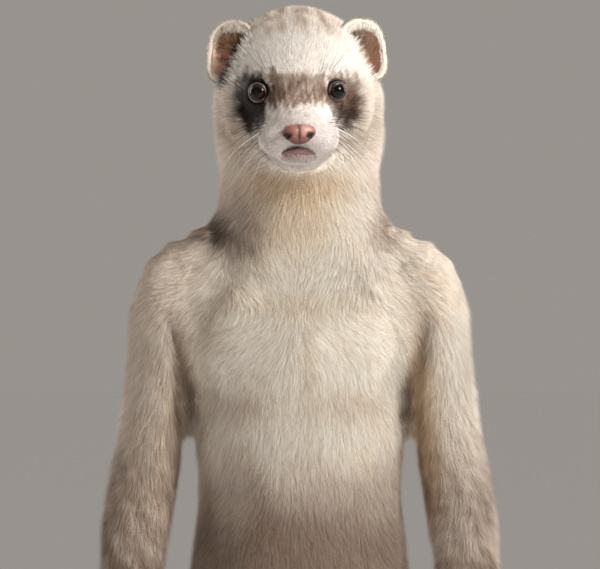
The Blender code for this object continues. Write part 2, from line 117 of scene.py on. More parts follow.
floor = new_piece("floor", *disc(25.0), smooth=False)
paper = bpy.data.materials.new("pale_paper")
shader, add, link = nodes_of(paper)
grain = add("ShaderNodeTexNoise", {"Scale": 9.0, "Detail": 3.0})
tone = add("ShaderNodeMapRange", {"Value": grain.outputs["Fac"], "To Min": 0.86, "To Max": 0.90})
away = add("ShaderNodeVectorMath", {0: add("ShaderNodeTexCoord").outputs["Object"]}, operation="LENGTH")
paling = add("ShaderNodeMapRange", {"Value": away.outputs["Value"], "From Min": 0.8, "From Max": 8.0})
faded = add("ShaderNodeMix", {0: paling.outputs["Result"], 2: tone.outputs["Result"], 3: 0.985})
link(faded.outputs[0], shader.inputs["Base Color"])
shader.inputs["Roughness"].default_value = 0.85
floor.data.materials.append(paper)

sky = bpy.data.worlds.new("studio")
sky.use_nodes = True
sky.node_tree.nodes["Background"].inputs["Color"].default_value = (0.85, 0.79, 0.73, 1)
sky.node_tree.nodes["Background"].inputs["Strength"].default_value = 0.37
bpy.context.scene.world = sky


def soft_box(name, place, target, width, height, watts):
    """A rectangular lamp at place that faces target."""
    lamp = bpy.data.lights.new(name, "AREA")
    lamp.shape, lamp.size, lamp.size_y, lamp.energy = "RECTANGLE", width, height, watts
    box = bpy.data.objects.new(name, lamp)
    box.location = place
    box.rotation_euler = (Vector(target) - Vector(place)).to_track_quat("-Z", "Y").to_euler()
    bpy.context.scene.collection.objects.link(box)


soft_box("key", (1.18, -1.06, 1.32), (0, -0.05, 0.27), 0.60, 0.60, 44.5)
soft_box("fill", (-0.80, -1.20, 0.50), (0, -0.05, 0.25), 0.70, 0.70, 0.9)
soft_box("strip_left", (0.75, 0.65, 0.60), (0, -0.05, 0.25), 0.20, 0.70, 3.2)
soft_box("strip_right", (-0.75, 0.65, 0.60), (0, -0.05, 0.25), 0.20, 0.70, 3.2)

# Skin. One closed skin under the whole coat, from the nose to the toes and the tail: the solids of flesh,
# joined, smoothed, and drawn in by the depth of the coat that grows on them.
MAKERS_SHIFT = np.array((0.031, -58.586, 0.0))
PAIRED = [f"{part}_{side}" for part in
          ("upper_arm", "forearm", "forepaw", "thigh", "shank", "hind_foot") for side in ("left", "right")]
FLESH = ["head", "jaw", "neck", "chest", "belly", "rump", "tail_base", "tail_end"] + PAIRED
SKIN_VOXEL = 1.5


def joined_flesh():
    """The flesh nodes as one mesh. Each is merged, and pushed out along its normals by just over half of
    the gap between nodes, so that neighbours overlap."""
    whole = bmesh.new()
    for name in FLESH:
        node = bmesh.new()
        node.from_mesh(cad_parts[name].data)
        bmesh.ops.remove_doubles(node, verts=node.verts, dist=0.00002)
        bmesh.ops.recalc_face_normals(node, faces=node.faces)
        node.normal_update()
        merged = bpy.data.meshes.new(name)
        node.to_mesh(merged)
        node.free()
        co, normal = (np.empty(len(merged.vertices) * 3, np.float32) for _ in range(2))
        merged.vertices.foreach_get("co", co)
        merged.vertices.foreach_get("normal", normal)
        merged.vertices.foreach_set("co", co + normal * 0.00035)
        whole.from_mesh(merged)
        bpy.data.meshes.remove(merged)
    mesh = bpy.data.meshes.new("flesh")
    whole.to_mesh(mesh)
    whole.free()
    return mesh


def arrays_of(mesh):
    """Points in the makers' frame, and the faces, of a mesh whose faces have four corners each."""
    co = np.empty(len(mesh.vertices) * 3, np.float32)
    mesh.vertices.foreach_get("co", co)
    faces = np.empty(len(mesh.loops), np.int32)
    mesh.loops.foreach_get("vertex_index", faces)
    return co.reshape(-1, 3).astype(float) * 1000 - MAKERS_SHIFT, faces.reshape(-1, 4)


def remeshed(mesh):
    """The voxel surface of a mesh."""
    carrier = bpy.data.objects.new("carrier", mesh)
    bpy.context.scene.collection.objects.link(carrier)
    voxels = carrier.modifiers.new("voxels", "REMESH")
    voxels.mode, voxels.voxel_size = "VOXEL", SKIN_VOXEL / 1000
    made = bpy.data.meshes.new_from_object(carrier.evaluated_get(bpy.context.evaluated_depsgraph_get()))
    bpy.data.objects.remove(carrier)
    return made


def spread_over(faces, count):
    """A function that gives each point the mean of its neighbours' values, summed along the faces' sides."""
    start = faces.ravel()
    end = np.roll(faces, -1, 1).ravel()
    a, b = np.concatenate([start, end]), np.concatenate([end, start])
    number = np.maximum(np.bincount(a, minlength=count), 1)

    def mean(values):
        values = values.reshape(count, -1)
        sums = [np.bincount(a, values[b, k], count) / number for k in range(values.shape[1])]
        return np.stack(sums, 1)

    return mean


def ramp(value, low, high):
    """0 below low, 1 above high, with an S-shaped rise between."""
    t = np.clip((value - low) / (high - low), 0, 1)
    return t * t * (3 - 2 * t)


def point_normals(points, faces):
    """Unit normals at the points: the sum of the cross products of the diagonals of the faces round them."""
    p = points[faces]
    cross = np.cross(p[:, 2] - p[:, 0], p[:, -1] - p[:, 1])
    total = np.stack([np.bincount(faces.ravel(), np.repeat(cross[:, k], faces.shape[1]), len(points))
                      for k in range(3)], 1)
    return total / np.maximum(np.linalg.norm(total, axis=1), 1e-12)[:, None]


def parts_at(p):
    """How far each point belongs to a named part of the body, from 0 to 1: soft steps across the planes that
    part the solids. They don't all add up to 1; the later ones lie on top."""
    x, y, z = np.abs(p[:, 0]), p[:, 1], p[:, 2]
    low = ramp(124 - z, -6, 10)
    above_head_cut = (-0.56 * (y - 4) + 0.83 * (z - 322))
    arm_side = (x - 42.2) + 0.09 * (z - 215)
    down_arm = 0.06 * (x - 55) - 0.12 * (y - 4) + (z - 207)
    wrist = -0.2 * (y + 5) + (z - 160)
    leg_side = (x - 27) - 0.22 * (z - 84)
    behind = 0.95 * (y - 56) - 0.31 * (z - 52)
    arm = ramp(arm_side, -6, 5) * (1 - low) * ramp(286 - z, 0, 18)
    tail = ramp(behind, -7, 5) * low
    leg = ramp(leg_side, -8, 5) * low * (1 - tail)
    shank = np.maximum(leg, ramp(60 - z, -4, 6) * low * (1 - tail))
    knee = -0.22 * (y + 14) + (z - 59)
    return {
        "head": ramp(above_head_cut, -5, 5),
        "neck": ramp(-above_head_cut, -5, 5) * ramp(-0.34 * (y - 8) + 0.94 * (z - 290), -10, 8),
        "arm": arm,
        "forearm": arm * ramp(-down_arm, -8, 8),
        "paw": arm * ramp(-wrist, -5, 5),
        "low": low,
        "leg": leg,
        "shank": shank * ramp(-knee, -6, 6),
        "foot": ramp(20 - z, -4, 6) * low * (1 - tail),
        "tail": tail,
    }



flesh = remeshed(joined_flesh())
skin_points, skin_faces = arrays_of(flesh)
bpy.data.meshes.remove(flesh)
neighbours_mean = spread_over(skin_faces, len(skin_points))
softening = parts_at(skin_points)
SOFTENING_ROUNDS = 18
keep_sharp = np.maximum(0.85 * softening["paw"], 0.8 * softening["foot"])
keep_sharp = np.maximum(keep_sharp, 0.5 * softening["head"] * ramp(10 - skin_points[:, 1], 0, 20))
for turn in range(2 * SOFTENING_ROUNDS):
    step = neighbours_mean(skin_points) - skin_points
    skin_points = skin_points + (0.60, -0.63)[turn % 2] * (1 - keep_sharp)[:, None] * step

# The head's own frame: u forwards along the skull, s to its left, v up. Its origin lies between the ears.
HEAD_PITCH, HEAD_ROLL, HEAD_ORIGIN = np.radians(22.0), np.radians(-1.0), np.array((-0.9, 6.0, 352.0))
roll = np.array(((np.cos(HEAD_ROLL), 0, np.sin(HEAD_ROLL)), (0, 1, 0), (-np.sin(HEAD_ROLL), 0, np.cos(HEAD_ROLL))))
head_axes = roll @ np.array(((0, 1, 0), (-np.cos(HEAD_PITCH), 0, -np.sin(HEAD_PITCH)),
                             (-np.sin(HEAD_PITCH), 0, np.cos(HEAD_PITCH))))


def in_head(points):
    """Points of the makers' frame as u, s, v: the offset from the head's origin along its three axes."""
    return (points - HEAD_ORIGIN) @ head_axes


def from_head(usv):
    """u, s, v as points of the makers' frame, the reverse of in_head."""
    return np.asarray(usv, float) @ head_axes.T + HEAD_ORIGIN


def coat_depth(points):
    """How thick the coat lies, in millimetres: one figure for each part of the body, blended at the seams."""
    part = parts_at(points)
    u, s, v = in_head(points).T
    face = 2.4 - 1.3 * ramp(u, 22, 40) - 0.55 * ramp(u, 44, 54)
    ruff = 2.0 * ramp(np.abs(s), 16, 25) * ramp(-v, 2, 14) * ramp(34 - u, 0, 16)
    depth = 4.6 + 0 * u
    for name, own in (("head", face + ruff), ("neck", 4.4), ("arm", 4.4), ("forearm", 3.6), ("paw", 0.9),
                      ("leg", 4.4), ("shank", 2.8), ("foot", 0.8), ("tail", 6.2)):
        depth = depth + part[name] * (own - depth)
    tail_end = ramp(points[:, 0], 45, 70) * part["tail"]
    return depth * (1 - 0.62 * tail_end)


# over the shoulder, foreleg and trunk grow together without a groove
x, y, z = skin_points.T
joined = ramp(np.abs(x), 36, 46) * ramp(z, 228, 248) * np.maximum(ramp(z, 252, 268), ramp(y, -6, 6))
full = skin_points
for _ in range(34):
    skin_points = skin_points + joined[:, None] * (neighbours_mean(skin_points) - skin_points)
full = full - skin_points
for _ in range(60):
    full = neighbours_mean(full)
x, y, z = skin_points.T
turn = np.exp(-(((np.abs(x) - 54) / 9) ** 2) - ((z - 277) / 8) ** 2) * ramp(z, 256, 270)
turn = 2.6 * turn + 0.5 * np.exp(-(((np.abs(x) - 47) / 8) ** 2) - ((z - 285) / 5.5) ** 2)
skin_points = skin_points + full + turn[:, None] * point_normals(skin_points, skin_faces)
inset = neighbours_mean(coat_depth(skin_points)[:, None])
for _ in range(6):
    inset = neighbours_mean(inset)
outwards = point_normals(skin_points, skin_faces)
wide = skin_points
for _ in range(26):
    wide = neighbours_mean(wide)
hollow = ((wide - skin_points) * outwards).sum(1)


def arm_fold(p, width):
    """1 along the groove between foreleg and trunk, and 0 a little to its side: a bell curve round the line
    from the armpit's apex up to the shoulder, fading out upwards."""
    x, y, z = p.T
    line = 41.0 + 0.24 * np.maximum(z - 230, 0)
    return np.exp(-(((np.abs(x) - line) / width) ** 2)) * ramp(z, 211, 221) * ramp(264 - z, 0, 26)


x, y, z = skin_points.T
fold = arm_fold(skin_points, 2.4) * ramp(8 - y, 0, 14)
filled = 0.75 * ramp(hollow, 0.3, 1.6) * (1 - ramp(fold, 0.0, 0.3)) * ramp(z, 262, 276)
filled = np.maximum(filled, 0.90 * np.exp(-(((np.abs(x) - 35) / 7) ** 2) - ((z - 289) / 6.5) ** 2))
filled = np.maximum(filled, 0.36 * np.exp(-(((np.abs(x) - 46) / 8) ** 2) - ((z - 283) / 6) ** 2))
filled = np.maximum(filled, 0.30 * np.exp(-(((np.abs(x) - 56) / 8) ** 2) - ((z - 270) / 12) ** 2))
filled = np.maximum(filled, 0.60 * np.exp(-(((np.abs(x) - 43) / 9) ** 2) - ((z - 200) / 24) ** 2))
sleeve = ramp(np.abs(x), 18, 28) * ramp(z, 226, 246) * ramp(282 - z, 0, 14) * (1 - ramp(fold, 0.0, 0.3)) * np.clip(hollow, 0, 4)
sleeve = np.maximum(sleeve, 1.3 * ramp(np.abs(x), 41, 46) * ramp(z, 240, 258) * np.clip(hollow, 0, 4))
inset = inset * (1 - filled)[:, None]
skin_points = skin_points - outwards * (inset + (5.0 * fold - 1.4 * sleeve)[:, None])
for _ in range(3):
    step = neighbours_mean(skin_points) - skin_points
    skin_points = skin_points + 0.5 * (1 - keep_sharp)[:, None] * step

def unit(vector):
    """A vector of length 1."""
    vector = np.asarray(vector, float)
    return vector / np.linalg.norm(vector, axis=-1, keepdims=True)


def axes_round(way, upright=(0, 0, 1)):
    """Two unit vectors across a unit way: to its side, and as near to upright as can be."""
    side = unit(np.cross(upright, way))
    return side, np.cross(way, side)


def middle_of(node):
    """The middle of a CAD node's box and half its size, in the makers' frame."""
    low, high = (np.array(corner) * 1000 - MAKERS_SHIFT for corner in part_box(node))
    return (low + high) / 2, (high - low) / 2


# The orbits: round each eye the skin is a smooth saucer, fitted to the face round it, that dips under the
# lids and passes inside the eyeball.
EYE_OUTWARDS, EYE_UPWARDS = 0.36, 0.03
eyes = {}
for side_name, side in (("left", 1), ("right", -1)):
    centre, half = middle_of(f"eye_{side_name}")
    gaze = unit((EYE_OUTWARDS * side, -1.0, EYE_UPWARDS))
    across, above = axes_round(gaze)
    eyes[side] = (centre, half.max() - 0.05, gaze, across, above)
    a, b, h = ((skin_points - centre) @ np.stack([across, above, gaze], 1)).T
    rho = np.hypot(a, b)
    near = (rho < 11.5) & (h > -7)
    terms = np.stack([1 + 0 * a, a, b, a * a, b * b, a * b], 1)
    ring = near & (rho > 6.2)
    curve = terms @ np.linalg.lstsq(terms[ring], h[ring], rcond=None)[0]
    saucer = np.minimum(curve, 3.1 + 0.55 * (rho - 4.2)) - 5.0 * ramp(4.6 - rho, 0, 1.2)
    weight = near * (1 - ramp(rho, 6.0, 9.0))
    skin_points = skin_points + ((saucer - h) * weight)[:, None] * gaze

# The mouth: the whisker pads swell on both sides of it, and where the bare lower lip shows, the skin is drawn
# in a little behind it.
LIP_HALF_WIDTH, LIP_APEX, LIP_DROP, LIP_BASE = 8.9, 318.9, 3.3, 312.6
x, y, z = skin_points.T
pads = np.exp(-(((np.abs(x + 0.9) - 7.6) / 4.2) ** 2) - ((z - 320.8) / 4.0) ** 2) * ramp(-y, 34, 40)
skin_points = skin_points + 1.15 * pads[:, None] * point_normals(skin_points, skin_faces)
front_fit = []


def muzzle_front(x, z):
    """y of the muzzle's front at x and z: the least-squares quadratic through the skin's points there."""
    def terms(x, z):
        x, z = x + 0.9, z - 316.5
        return np.stack([1 + 0 * x, x, z, x * x, z * z, x * z, x**2 * z, x**4 / 100], -1)

    if not front_fit:
        q, facing = skin_points, point_normals(skin_points, skin_faces)[:, 1] < -0.25
        near = (np.abs(q[:, 0] + 0.9) < 11) & (np.abs(q[:, 2] - 316.5) < 6) & facing
        front_fit.append(np.linalg.lstsq(terms(q[near, 0], q[near, 2]), q[near, 1], rcond=None)[0])
    return terms(x, z) @ front_fit[0]


def lip_line(x):
    """z of the line between the lips at x: its apex, less a drop that grows as a power of the way to a corner."""
    return LIP_APEX - LIP_DROP * np.abs((x + 0.9) / LIP_HALF_WIDTH) ** 1.25


x, y, z = skin_points.T
lip_z = np.minimum(lip_line(x), LIP_APEX)
trough = ramp(LIP_HALF_WIDTH - np.abs(x + 0.9), -0.4, 1.6) * ramp(lip_z - z, -0.5, 0.5) * ramp(z - LIP_BASE, -0.3, 1.4)
trough = trough * (np.abs(y - muzzle_front(x, z)) < 3)
skin_points[:, 1] += 0.9 * trough

# Markings. The one table of colour that skin and coat share: a cream coat, white on the forehead, muzzle
# and chin, with a dark brown mask, a streaked brown crown, brown patches at the neck's base and sable legs
# and tail. Some layers are painted light and shade: a brighter middle of the breast, and shade in the folds
# beside the forelegs, under the breast and the chin, low on the trunk, on the animal's right side and on
# the cheeks. Each marking is a soft blob round a place on the body, in the head's frame or the makers'.
CREAM, IVORY, WHITE, CHALK, BUFF, THROAT, SABLE, BROWN, TAUPE, CROWN_BROWN = linear(
    (243, 230, 215), (248, 238, 224), (249, 240, 230), (200, 190, 183), (226, 196, 160), (232, 203, 166),
    (36, 23, 18), (112, 84, 68), (172, 149, 130), (172, 149, 133))


# the line along which the forehead meets each ear, as x and z: the right ear's, then the left ear's
EAR_EDGES = {-1: ((-19.3, 363.4), (-21.6, 357.8), (-24.4, 352.1), (-26.4, 347.6), (-27.4, 343.1)),
             1: ((17.1, 363.4), (20.4, 359.6), (23.2, 354.0), (25.6, 349.1), (27.6, 344.6))}


def blob(points, centre, sizes, edge=0.35):
    """1 inside an ellipsoid and 0 outside it: its rim is a ramp as wide as edge, as a share of its size."""
    reach = np.linalg.norm((points - np.array(centre)) / np.array(sizes), axis=1)
    return 1 - ramp(reach, 1 - edge, 1 + edge)


def ripple(points, size, seed):
    """Smooth irregular values near -1 to 1: a sum of sine waves along six seeded directions, about size long."""
    waves = np.random.default_rng(seed)
    way = waves.normal(size=(6, 3))
    way *= (2 * np.pi / size) * waves.uniform(0.6, 1.5, (6, 1)) / np.linalg.norm(way, axis=1)[:, None]
    return np.sin(points @ way.T + waves.uniform(0, 2 * np.pi, 6)).sum(1) / 2.4


def distance_to(points, line):
    """How far points lie from a line of straight stretches: the least distance to any of them."""
    a, way = line[:-1][None], (line[1:] - line[:-1])[None]
    share = np.clip(((points[:, None] - a) * way).sum(2) / (way**2).sum(2), 0, 1)
    return np.linalg.norm(points[:, None] - a - share[..., None] * way, axis=2).min(1)


def painted(colour, layer, weight):
    """A colour over another: the mean of both by weight."""
    return colour + np.clip(weight, 0, 1)[:, None] * (layer - colour)


def markings_and_painted_light(points):
    """The coat's colour at points of the makers' frame: layers laid over cream one after another, some of them painted
    light and shade.
    """
    p = np.asarray(points, float)
    part = parts_at(p)
    usv = in_head(p)
    u, s, v = usv.T
    x, y, z = p.T
    rough = ripple(p, 5.0, 3)
    head, front = part["head"], ramp(10 - y, -12, 10)
    colour = np.repeat(CREAM[None], len(p), 0)
    colour = painted(colour, IVORY, 0.5 * ramp(ripple(p, 34, 5), 0, 1.4))
    colour = painted(colour, BUFF, 0.22 * ramp(ripple(p, 20, 7), 0.1, 1.5) * (1 - head))
    colour = painted(colour, TAUPE, (0.22 - 0.10 * front) * ramp(ripple(p * (1, 1, 0.5), 7, 8), 0.2, 1.4) * (1 - head))
    # painted light: the middle of the breast is made brighter than ivory, as if lit from the front and above
    colour = painted(colour, IVORY * (1.10, 1.06, 1.02), 0.85 * front * blob(p, (4, -24, 246), (34, 30, 40), 0.5))
    # yellower fur under the chin; painted shade in the folds between foreleg and trunk, brown with a near black core;
    # yellower fur on the inner side of the forelegs and at the root of the breast
    colour = painted(colour, THROAT, 0.55 * blob(p, (-1, -22, 304), (16, 30, 22), 0.6) * (1 - head))
    colour = painted(colour, BROWN, 0.80 * arm_fold(p, 3.8) * front)
    colour = painted(colour, SABLE, 0.70 * arm_fold(p, 2.2) * front * ramp(z, 214, 226))
    inner_arm = ramp(9 - np.abs(np.abs(x) - 47 + 0.10 * (z - 215)), 0, 8) * ramp(z, 168, 190) * ramp(262 - z, 0, 30)
    colour = painted(colour, BUFF, (0.20 + 0.45 * (x > 0)) * inner_arm * (front + 0.4) * part["arm"])
    colour = painted(colour, BUFF, 0.30 * front * blob(p, (0, -30, 260.5), (19, 22, 4.4), 0.9))
    # painted shade under each half of the breast and in a line down its middle
    for x0, z0 in ((-23.0, 223.0), (20.5, 223.5)):
        colour = painted(colour, TAUPE, 0.42 * front * blob(p, (x0, -30, z0), (14, 22, 5.5), 0.95))
    colour = painted(colour, TAUPE, 0.30 * front * blob(p, (3.0, -30, 236), (2.6, 20, 20), 0.9))
    # painted shade: the trunk darkens towards the bottom, taupe and then brown
    low = ramp(212 - z + 5 * ripple(p * (1, 1, 0.5), 17, 33), 0, 42) * (1 - part["arm"])
    colour = painted(colour, TAUPE, 0.75 * low)
    colour = painted(colour, BROWN, 0.50 * low * (0.30 + 0.70 * front))
    # the forelegs darken towards the bottom: partly the colour of sable legs, partly painted shade
    colour = painted(colour, TAUPE, 0.50 * part["arm"] * ramp(226 - z, 0, 30) * (0.8 + 0.4 * rough))
    colour = painted(colour, BROWN, 0.38 * part["arm"] * ramp(212 - z, 0, 26) * (0.8 + 0.4 * rough))
    # painted shade: the animal's right side, away from the key light, is darker
    colour = painted(colour, TAUPE, 0.40 * ramp(-x, 22, 50) * (1 - head) * (0.8 + 0.3 * rough))
    # the back is browner along the spine, with dark guard hairs
    colour = painted(colour, TAUPE, 0.62 * ramp(y - 14, 0, 22) * (1 - head) * (0.75 + 0.25 * rough))
    colour = painted(colour, BROWN, 0.45 * ramp(y - 20, 0, 18) * (1 - head) * ramp(ripple(p * (1, 1, 0.3), 3.0, 31), -0.2, 1.0))
    # sable legs and tail, and the lower end of the forelegs
    colour = painted(colour, BROWN, 0.80 * ramp(112 - z + 4 * rough, -12, 26))
    colour = painted(colour, SABLE, 0.85 * np.maximum(part["tail"], ramp(78 - z + 4 * rough, -8, 24)))
    colour = painted(colour, BROWN, 0.85 * part["arm"] * ramp(166 - z + 3 * rough, -6, 16))
    colour = painted(colour, SABLE, 0.80 * part["arm"] * ramp(150 - z + 3 * rough, -6, 12))
    # dark patches where the neck meets the shoulders, strong on the right, faint on the left
    edge = p + 2.2 * np.stack([rough, rough, rough], 1)
    colour = painted(colour, TAUPE, 0.55 * blob(edge, (-27, -6, 292), (13, 20, 13), 0.8))
    colour = painted(colour, BROWN, 0.35 * blob(edge, (-21, -20, 286), (9, 14, 7), 0.8))
    colour = painted(colour, SABLE, 0.90 * blob(edge, (-30.5, 0, 288), (5.4, 20, 5.6), 0.5))
    for x0, z0, lean in ((-22.0, 283.5, 0.5), (-18.5, 280.5, 0.8)):
        streak_z = edge[:, 2] - z0 + lean * (x - x0)
        colour = painted(colour, BROWN, 0.55 * front * np.exp(-(((x - x0) / 5.0) ** 2) - (streak_z / 2.0) ** 2))
    colour = painted(colour, BROWN, 0.55 * blob(edge, (31, -2, 289), (5.5, 20, 9.0), 0.7))
    colour = painted(colour, TAUPE, 0.58 * ramp(np.abs(x), 24, 31) * ramp(z, 278, 302) * (1 - head) * (0.8 + 0.3 * rough))
    # painted shadow of the head under the chin, buff and taupe
    colour = painted(colour, BUFF, 0.80 * blob(p, (-1, -20, 308), (19, 22, 8), 0.8) * (1 - head))
    colour = painted(colour, TAUPE, 0.50 * blob(p, (-2, -22, 311), (17, 22, 6), 0.8) * (1 - head))
    # the head: white forehead and muzzle, grey-brown crown and nape, in streaks
    streak = ripple(np.stack([p[:, 0], 0.16 * p[:, 1], 0.16 * p[:, 2]], 1), 2.6, 9)
    colour = painted(colour, WHITE, 0.90 * head * blob(usv, (32, 0, 4), (28, 25, 20), 0.35))
    speck = ripple(p, 1.3, 15)
    crown = head * np.maximum(ramp(z + 0.9 * rough, 357.6, 364.6), ramp(y, 0, 12) * ramp(z, 318, 334))
    crown = crown * (0.60 + 0.22 * ripple(p, 9, 12))
    ahead = ramp(14 - y, 0, 12)
    colour = painted(colour, CROWN_BROWN, crown * (0.74 + (0.10 + 0.36 * ahead) * streak))
    colour = painted(colour, BROWN, 0.38 * crown * ramp(streak, 0.1, 1.1) * ahead)
    # taupe streaks on the cheeks: partly darker hairs, partly painted shade, which makes the right cheek darker than
    # the left
    for side, much in ((-1, 0.75), (1, 0.50)):
        cheek = blob(p, (28 * side, -12, 322), (10, 26, 18), 0.6) * head
        colour = painted(colour, TAUPE, much * cheek * (0.5 + 0.7 * ramp(ripple(p * (1, 0.3, 0.4), 1.8, 18), -0.6, 0.8)))
    # the mask: a band over the bridge of the nose, and a dark patch round and below each eye, nearly black
    # on the right and mottled brown on the left
    facing = head * ramp(u, 10, 18)
    fine_streak = ripple(np.stack([p[:, 0], 0.2 * p[:, 1], 0.2 * p[:, 2]], 1), 1.25, 16)
    shift = np.stack([x + 0.9 * rough, z + 1.0 * ripple(p, 4.0, 14) + 1.0 * fine_streak], 1)

    def oval(x0, z0, wide, high, lean=0.0, edge=0.3):
        """Weight 1 inside an upright oval of the face, seen from in front, that leans by a slope."""
        gap_x, gap_z = shift[:, 0] - x0 - lean * (shift[:, 1] - z0), shift[:, 1] - z0
        return facing * (1 - ramp(np.hypot(gap_x / wide, gap_z / high), 1 - edge, 1 + edge))

    bridge = oval(-0.6, 339.8, 13.6, 6.4, 0, 0.30)
    colour = painted(colour, TAUPE, bridge * (0.90 + 0.15 * fine_streak))
    colour = painted(colour, BROWN, bridge * (0.36 + 0.32 * fine_streak + 0.10 * streak + 0.035 * np.maximum(-x - 3, 0)))
    for x0, z0, wide, high, lean, tone, much in (
            (-9.6, 339.4, 3.0, 5.6, 0.1, BROWN, 0.80), (-15.6, 345.0, 6.0, 2.0, 0.3, BROWN, 0.62),
            (-16.9, 339.6, 6.4, 7.0, 0.0, SABLE, 0.97), (-17.4, 333.0, 5.8, 6.2, 0.1, SABLE, 1.0),
            (-16.4, 328.2, 4.0, 4.6, 0.0, SABLE, 0.97), (-10.2, 346.6, 1.3, 2.4, 0.2, BROWN, 0.8),
            (14.8, 343.8, 7.4, 3.4, -0.3, BROWN, 0.70), (15.9, 338.8, 6.6, 6.2, 0.0, BROWN, 0.80),
            (17.4, 334.2, 5.6, 5.8, 0.0, BROWN, 0.90), (17.2, 329.6, 4.0, 4.4, 0.0, SABLE, 0.72),
            (20.0, 338.0, 2.9, 4.6, 0.0, BROWN, 0.75), (13.6, 333.6, 2.8, 2.6, 0.0, SABLE, 0.55), (9.0, 346.6, 1.5, 2.4, -0.2, BROWN, 0.5),
            (11.2, 336.2, 2.6, 2.6, 0.0, BROWN, 0.45), (19.2, 333.6, 2.6, 5.0, 0.0, SABLE, 0.55),
            (-12.0, 344.2, 0.9, 2.0, -0.5, CREAM, 0.75), (10.2, 344.4, 0.9, 2.0, 0.5, CREAM, 0.75)):
        colour = painted(colour, tone, oval(x0, z0, wide, high, lean) * (much + 0.22 * (1 - much) * speck * 2))
    # dark hair along the inner edge of each ear
    for ear_side, tone, much in ((-1, SABLE, 0.92), (1, BROWN, 0.85)):
        gap = distance_to(np.stack([x, z], 1), np.array(EAR_EDGES[ear_side]))
        colour = painted(colour, tone, much * head * ramp(2.3 - gap + 0.5 * rough, 0, 1.4) * ramp(16 - np.abs(u - 4), 0, 6))
    colour = painted(colour, CHALK, 0.97 * head * oval(-0.6, 321.5, 15.8, 11.6, 0, 0.16) * ramp(u, 26, 34))
    return colour


def give_colours(piece, colours, name="coat"):
    """Stores a colour at each point of a piece, for its material to read."""
    layer = piece.data.color_attributes.new(name, "FLOAT_COLOR", "POINT")
    rgba = np.concatenate([np.clip(colours, 0, 1), np.ones((len(colours), 1))], 1)
    layer.data.foreach_set("color", rgba.astype(np.float32).ravel())


skin = new_piece("skin", (skin_points + MAKERS_SHIFT) / 1000, skin_faces)
skin_normals = point_normals(skin_points, skin_faces)
give_colours(skin, markings_and_painted_light(skin_points))
hide = bpy.data.materials.new("hide_under_fur")
shader, add, link = nodes_of(hide)
marked = add("ShaderNodeAttribute", attribute_name="coat")
place = add("ShaderNodeTexCoord")
down = add("ShaderNodeTexNoise", {"Vector": place.outputs["Object"], "Scale": 900.0, "Detail": 4.0})
shade = add("ShaderNodeMix", {0: 1.0, 6: marked.outputs["Color"], 7: down.outputs["Fac"]},
            data_type="RGBA", blend_type="SOFT_LIGHT")
link(shade.outputs[2], shader.inputs["Base Color"])
bump = add("ShaderNodeBump", {"Height": down.outputs["Fac"], "Strength": 0.5, "Distance": 0.0006})
link(bump.outputs["Normal"], shader.inputs["Normal"])
shader.inputs["Roughness"].default_value = 0.75
shader.inputs["Specular IOR Level"].default_value = 0.25
skin.data.materials.append(hide)
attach(skin, "root")
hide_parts(*FLESH)
print("SKIN", len(skin_points), len(skin_faces), skin_points.min(0), skin_points.max(0))


# Eyes. Two glossy, nearly black eyeballs, each a closed ball with a slightly fuller cornea, set deep in the
# head behind pale pink lids.
def closed_grid(name, grid):
    """A smooth piece from rows of points that each close on themselves. Rows that shrink to one point close
    its ends. Doubles are merged and the faces turned outwards."""
    rows, around, _ = grid.shape
    i, j = np.meshgrid(np.arange(rows - 1), np.arange(around), indexing="ij")
    after = (j + 1) % around
    faces = np.stack([i * around + j, i * around + after, (i + 1) * around + after, (i + 1) * around + j], -1)
    made = new_piece(name, (grid.reshape(-1, 3) + MAKERS_SHIFT) / 1000, faces.reshape(-1, 4))
    bm = bmesh.new()
    bm.from_mesh(made.data)
    bmesh.ops.remove_doubles(bm, verts=bm.verts, dist=1e-6)
    bmesh.ops.recalc_face_normals(bm, faces=bm.faces)
    bm.to_mesh(made.data)
    bm.free()
    return made


def points_of(piece):
    """A piece's points in the makers' frame."""
    co = np.empty(len(piece.data.vertices) * 3, np.float32)
    piece.data.vertices.foreach_get("co", co)
    return co.reshape(-1, 3).astype(float) * 1000 - MAKERS_SHIFT


eye_stuff = bpy.data.materials.new("eye")
shader, add, link = nodes_of(eye_stuff)
ring = add("ShaderNodeAttribute", attribute_name="ring")
iris = add("ShaderNodeValToRGB", {"Fac": ring.outputs["Fac"]})
for stop, colour in zip((0.0, 0.155, 0.175, 0.27, 0.33),
                        linear((3, 3, 3), (4, 3, 3), (40, 21, 13), (30, 15, 10), (5, 4, 4))):
    element = iris.color_ramp.elements.new(stop) if stop else iris.color_ramp.elements[0]
    element.color = (*colour, 1)
iris.color_ramp.elements.remove(iris.color_ramp.elements[-1])
rays = add("ShaderNodeTexNoise", {"Vector": add("ShaderNodeTexCoord").outputs["Object"], "Scale": 1500.0})
flecked = add("ShaderNodeMix", {0: 0.5, 6: iris.outputs["Color"], 7: rays.outputs["Fac"]},
              data_type="RGBA", blend_type="SOFT_LIGHT")
link(flecked.outputs[2], shader.inputs["Base Color"])
shader.inputs["Roughness"].default_value = 0.03
shader.inputs["IOR"].default_value = 1.40
shader.inputs["Specular IOR Level"].default_value = 0.28
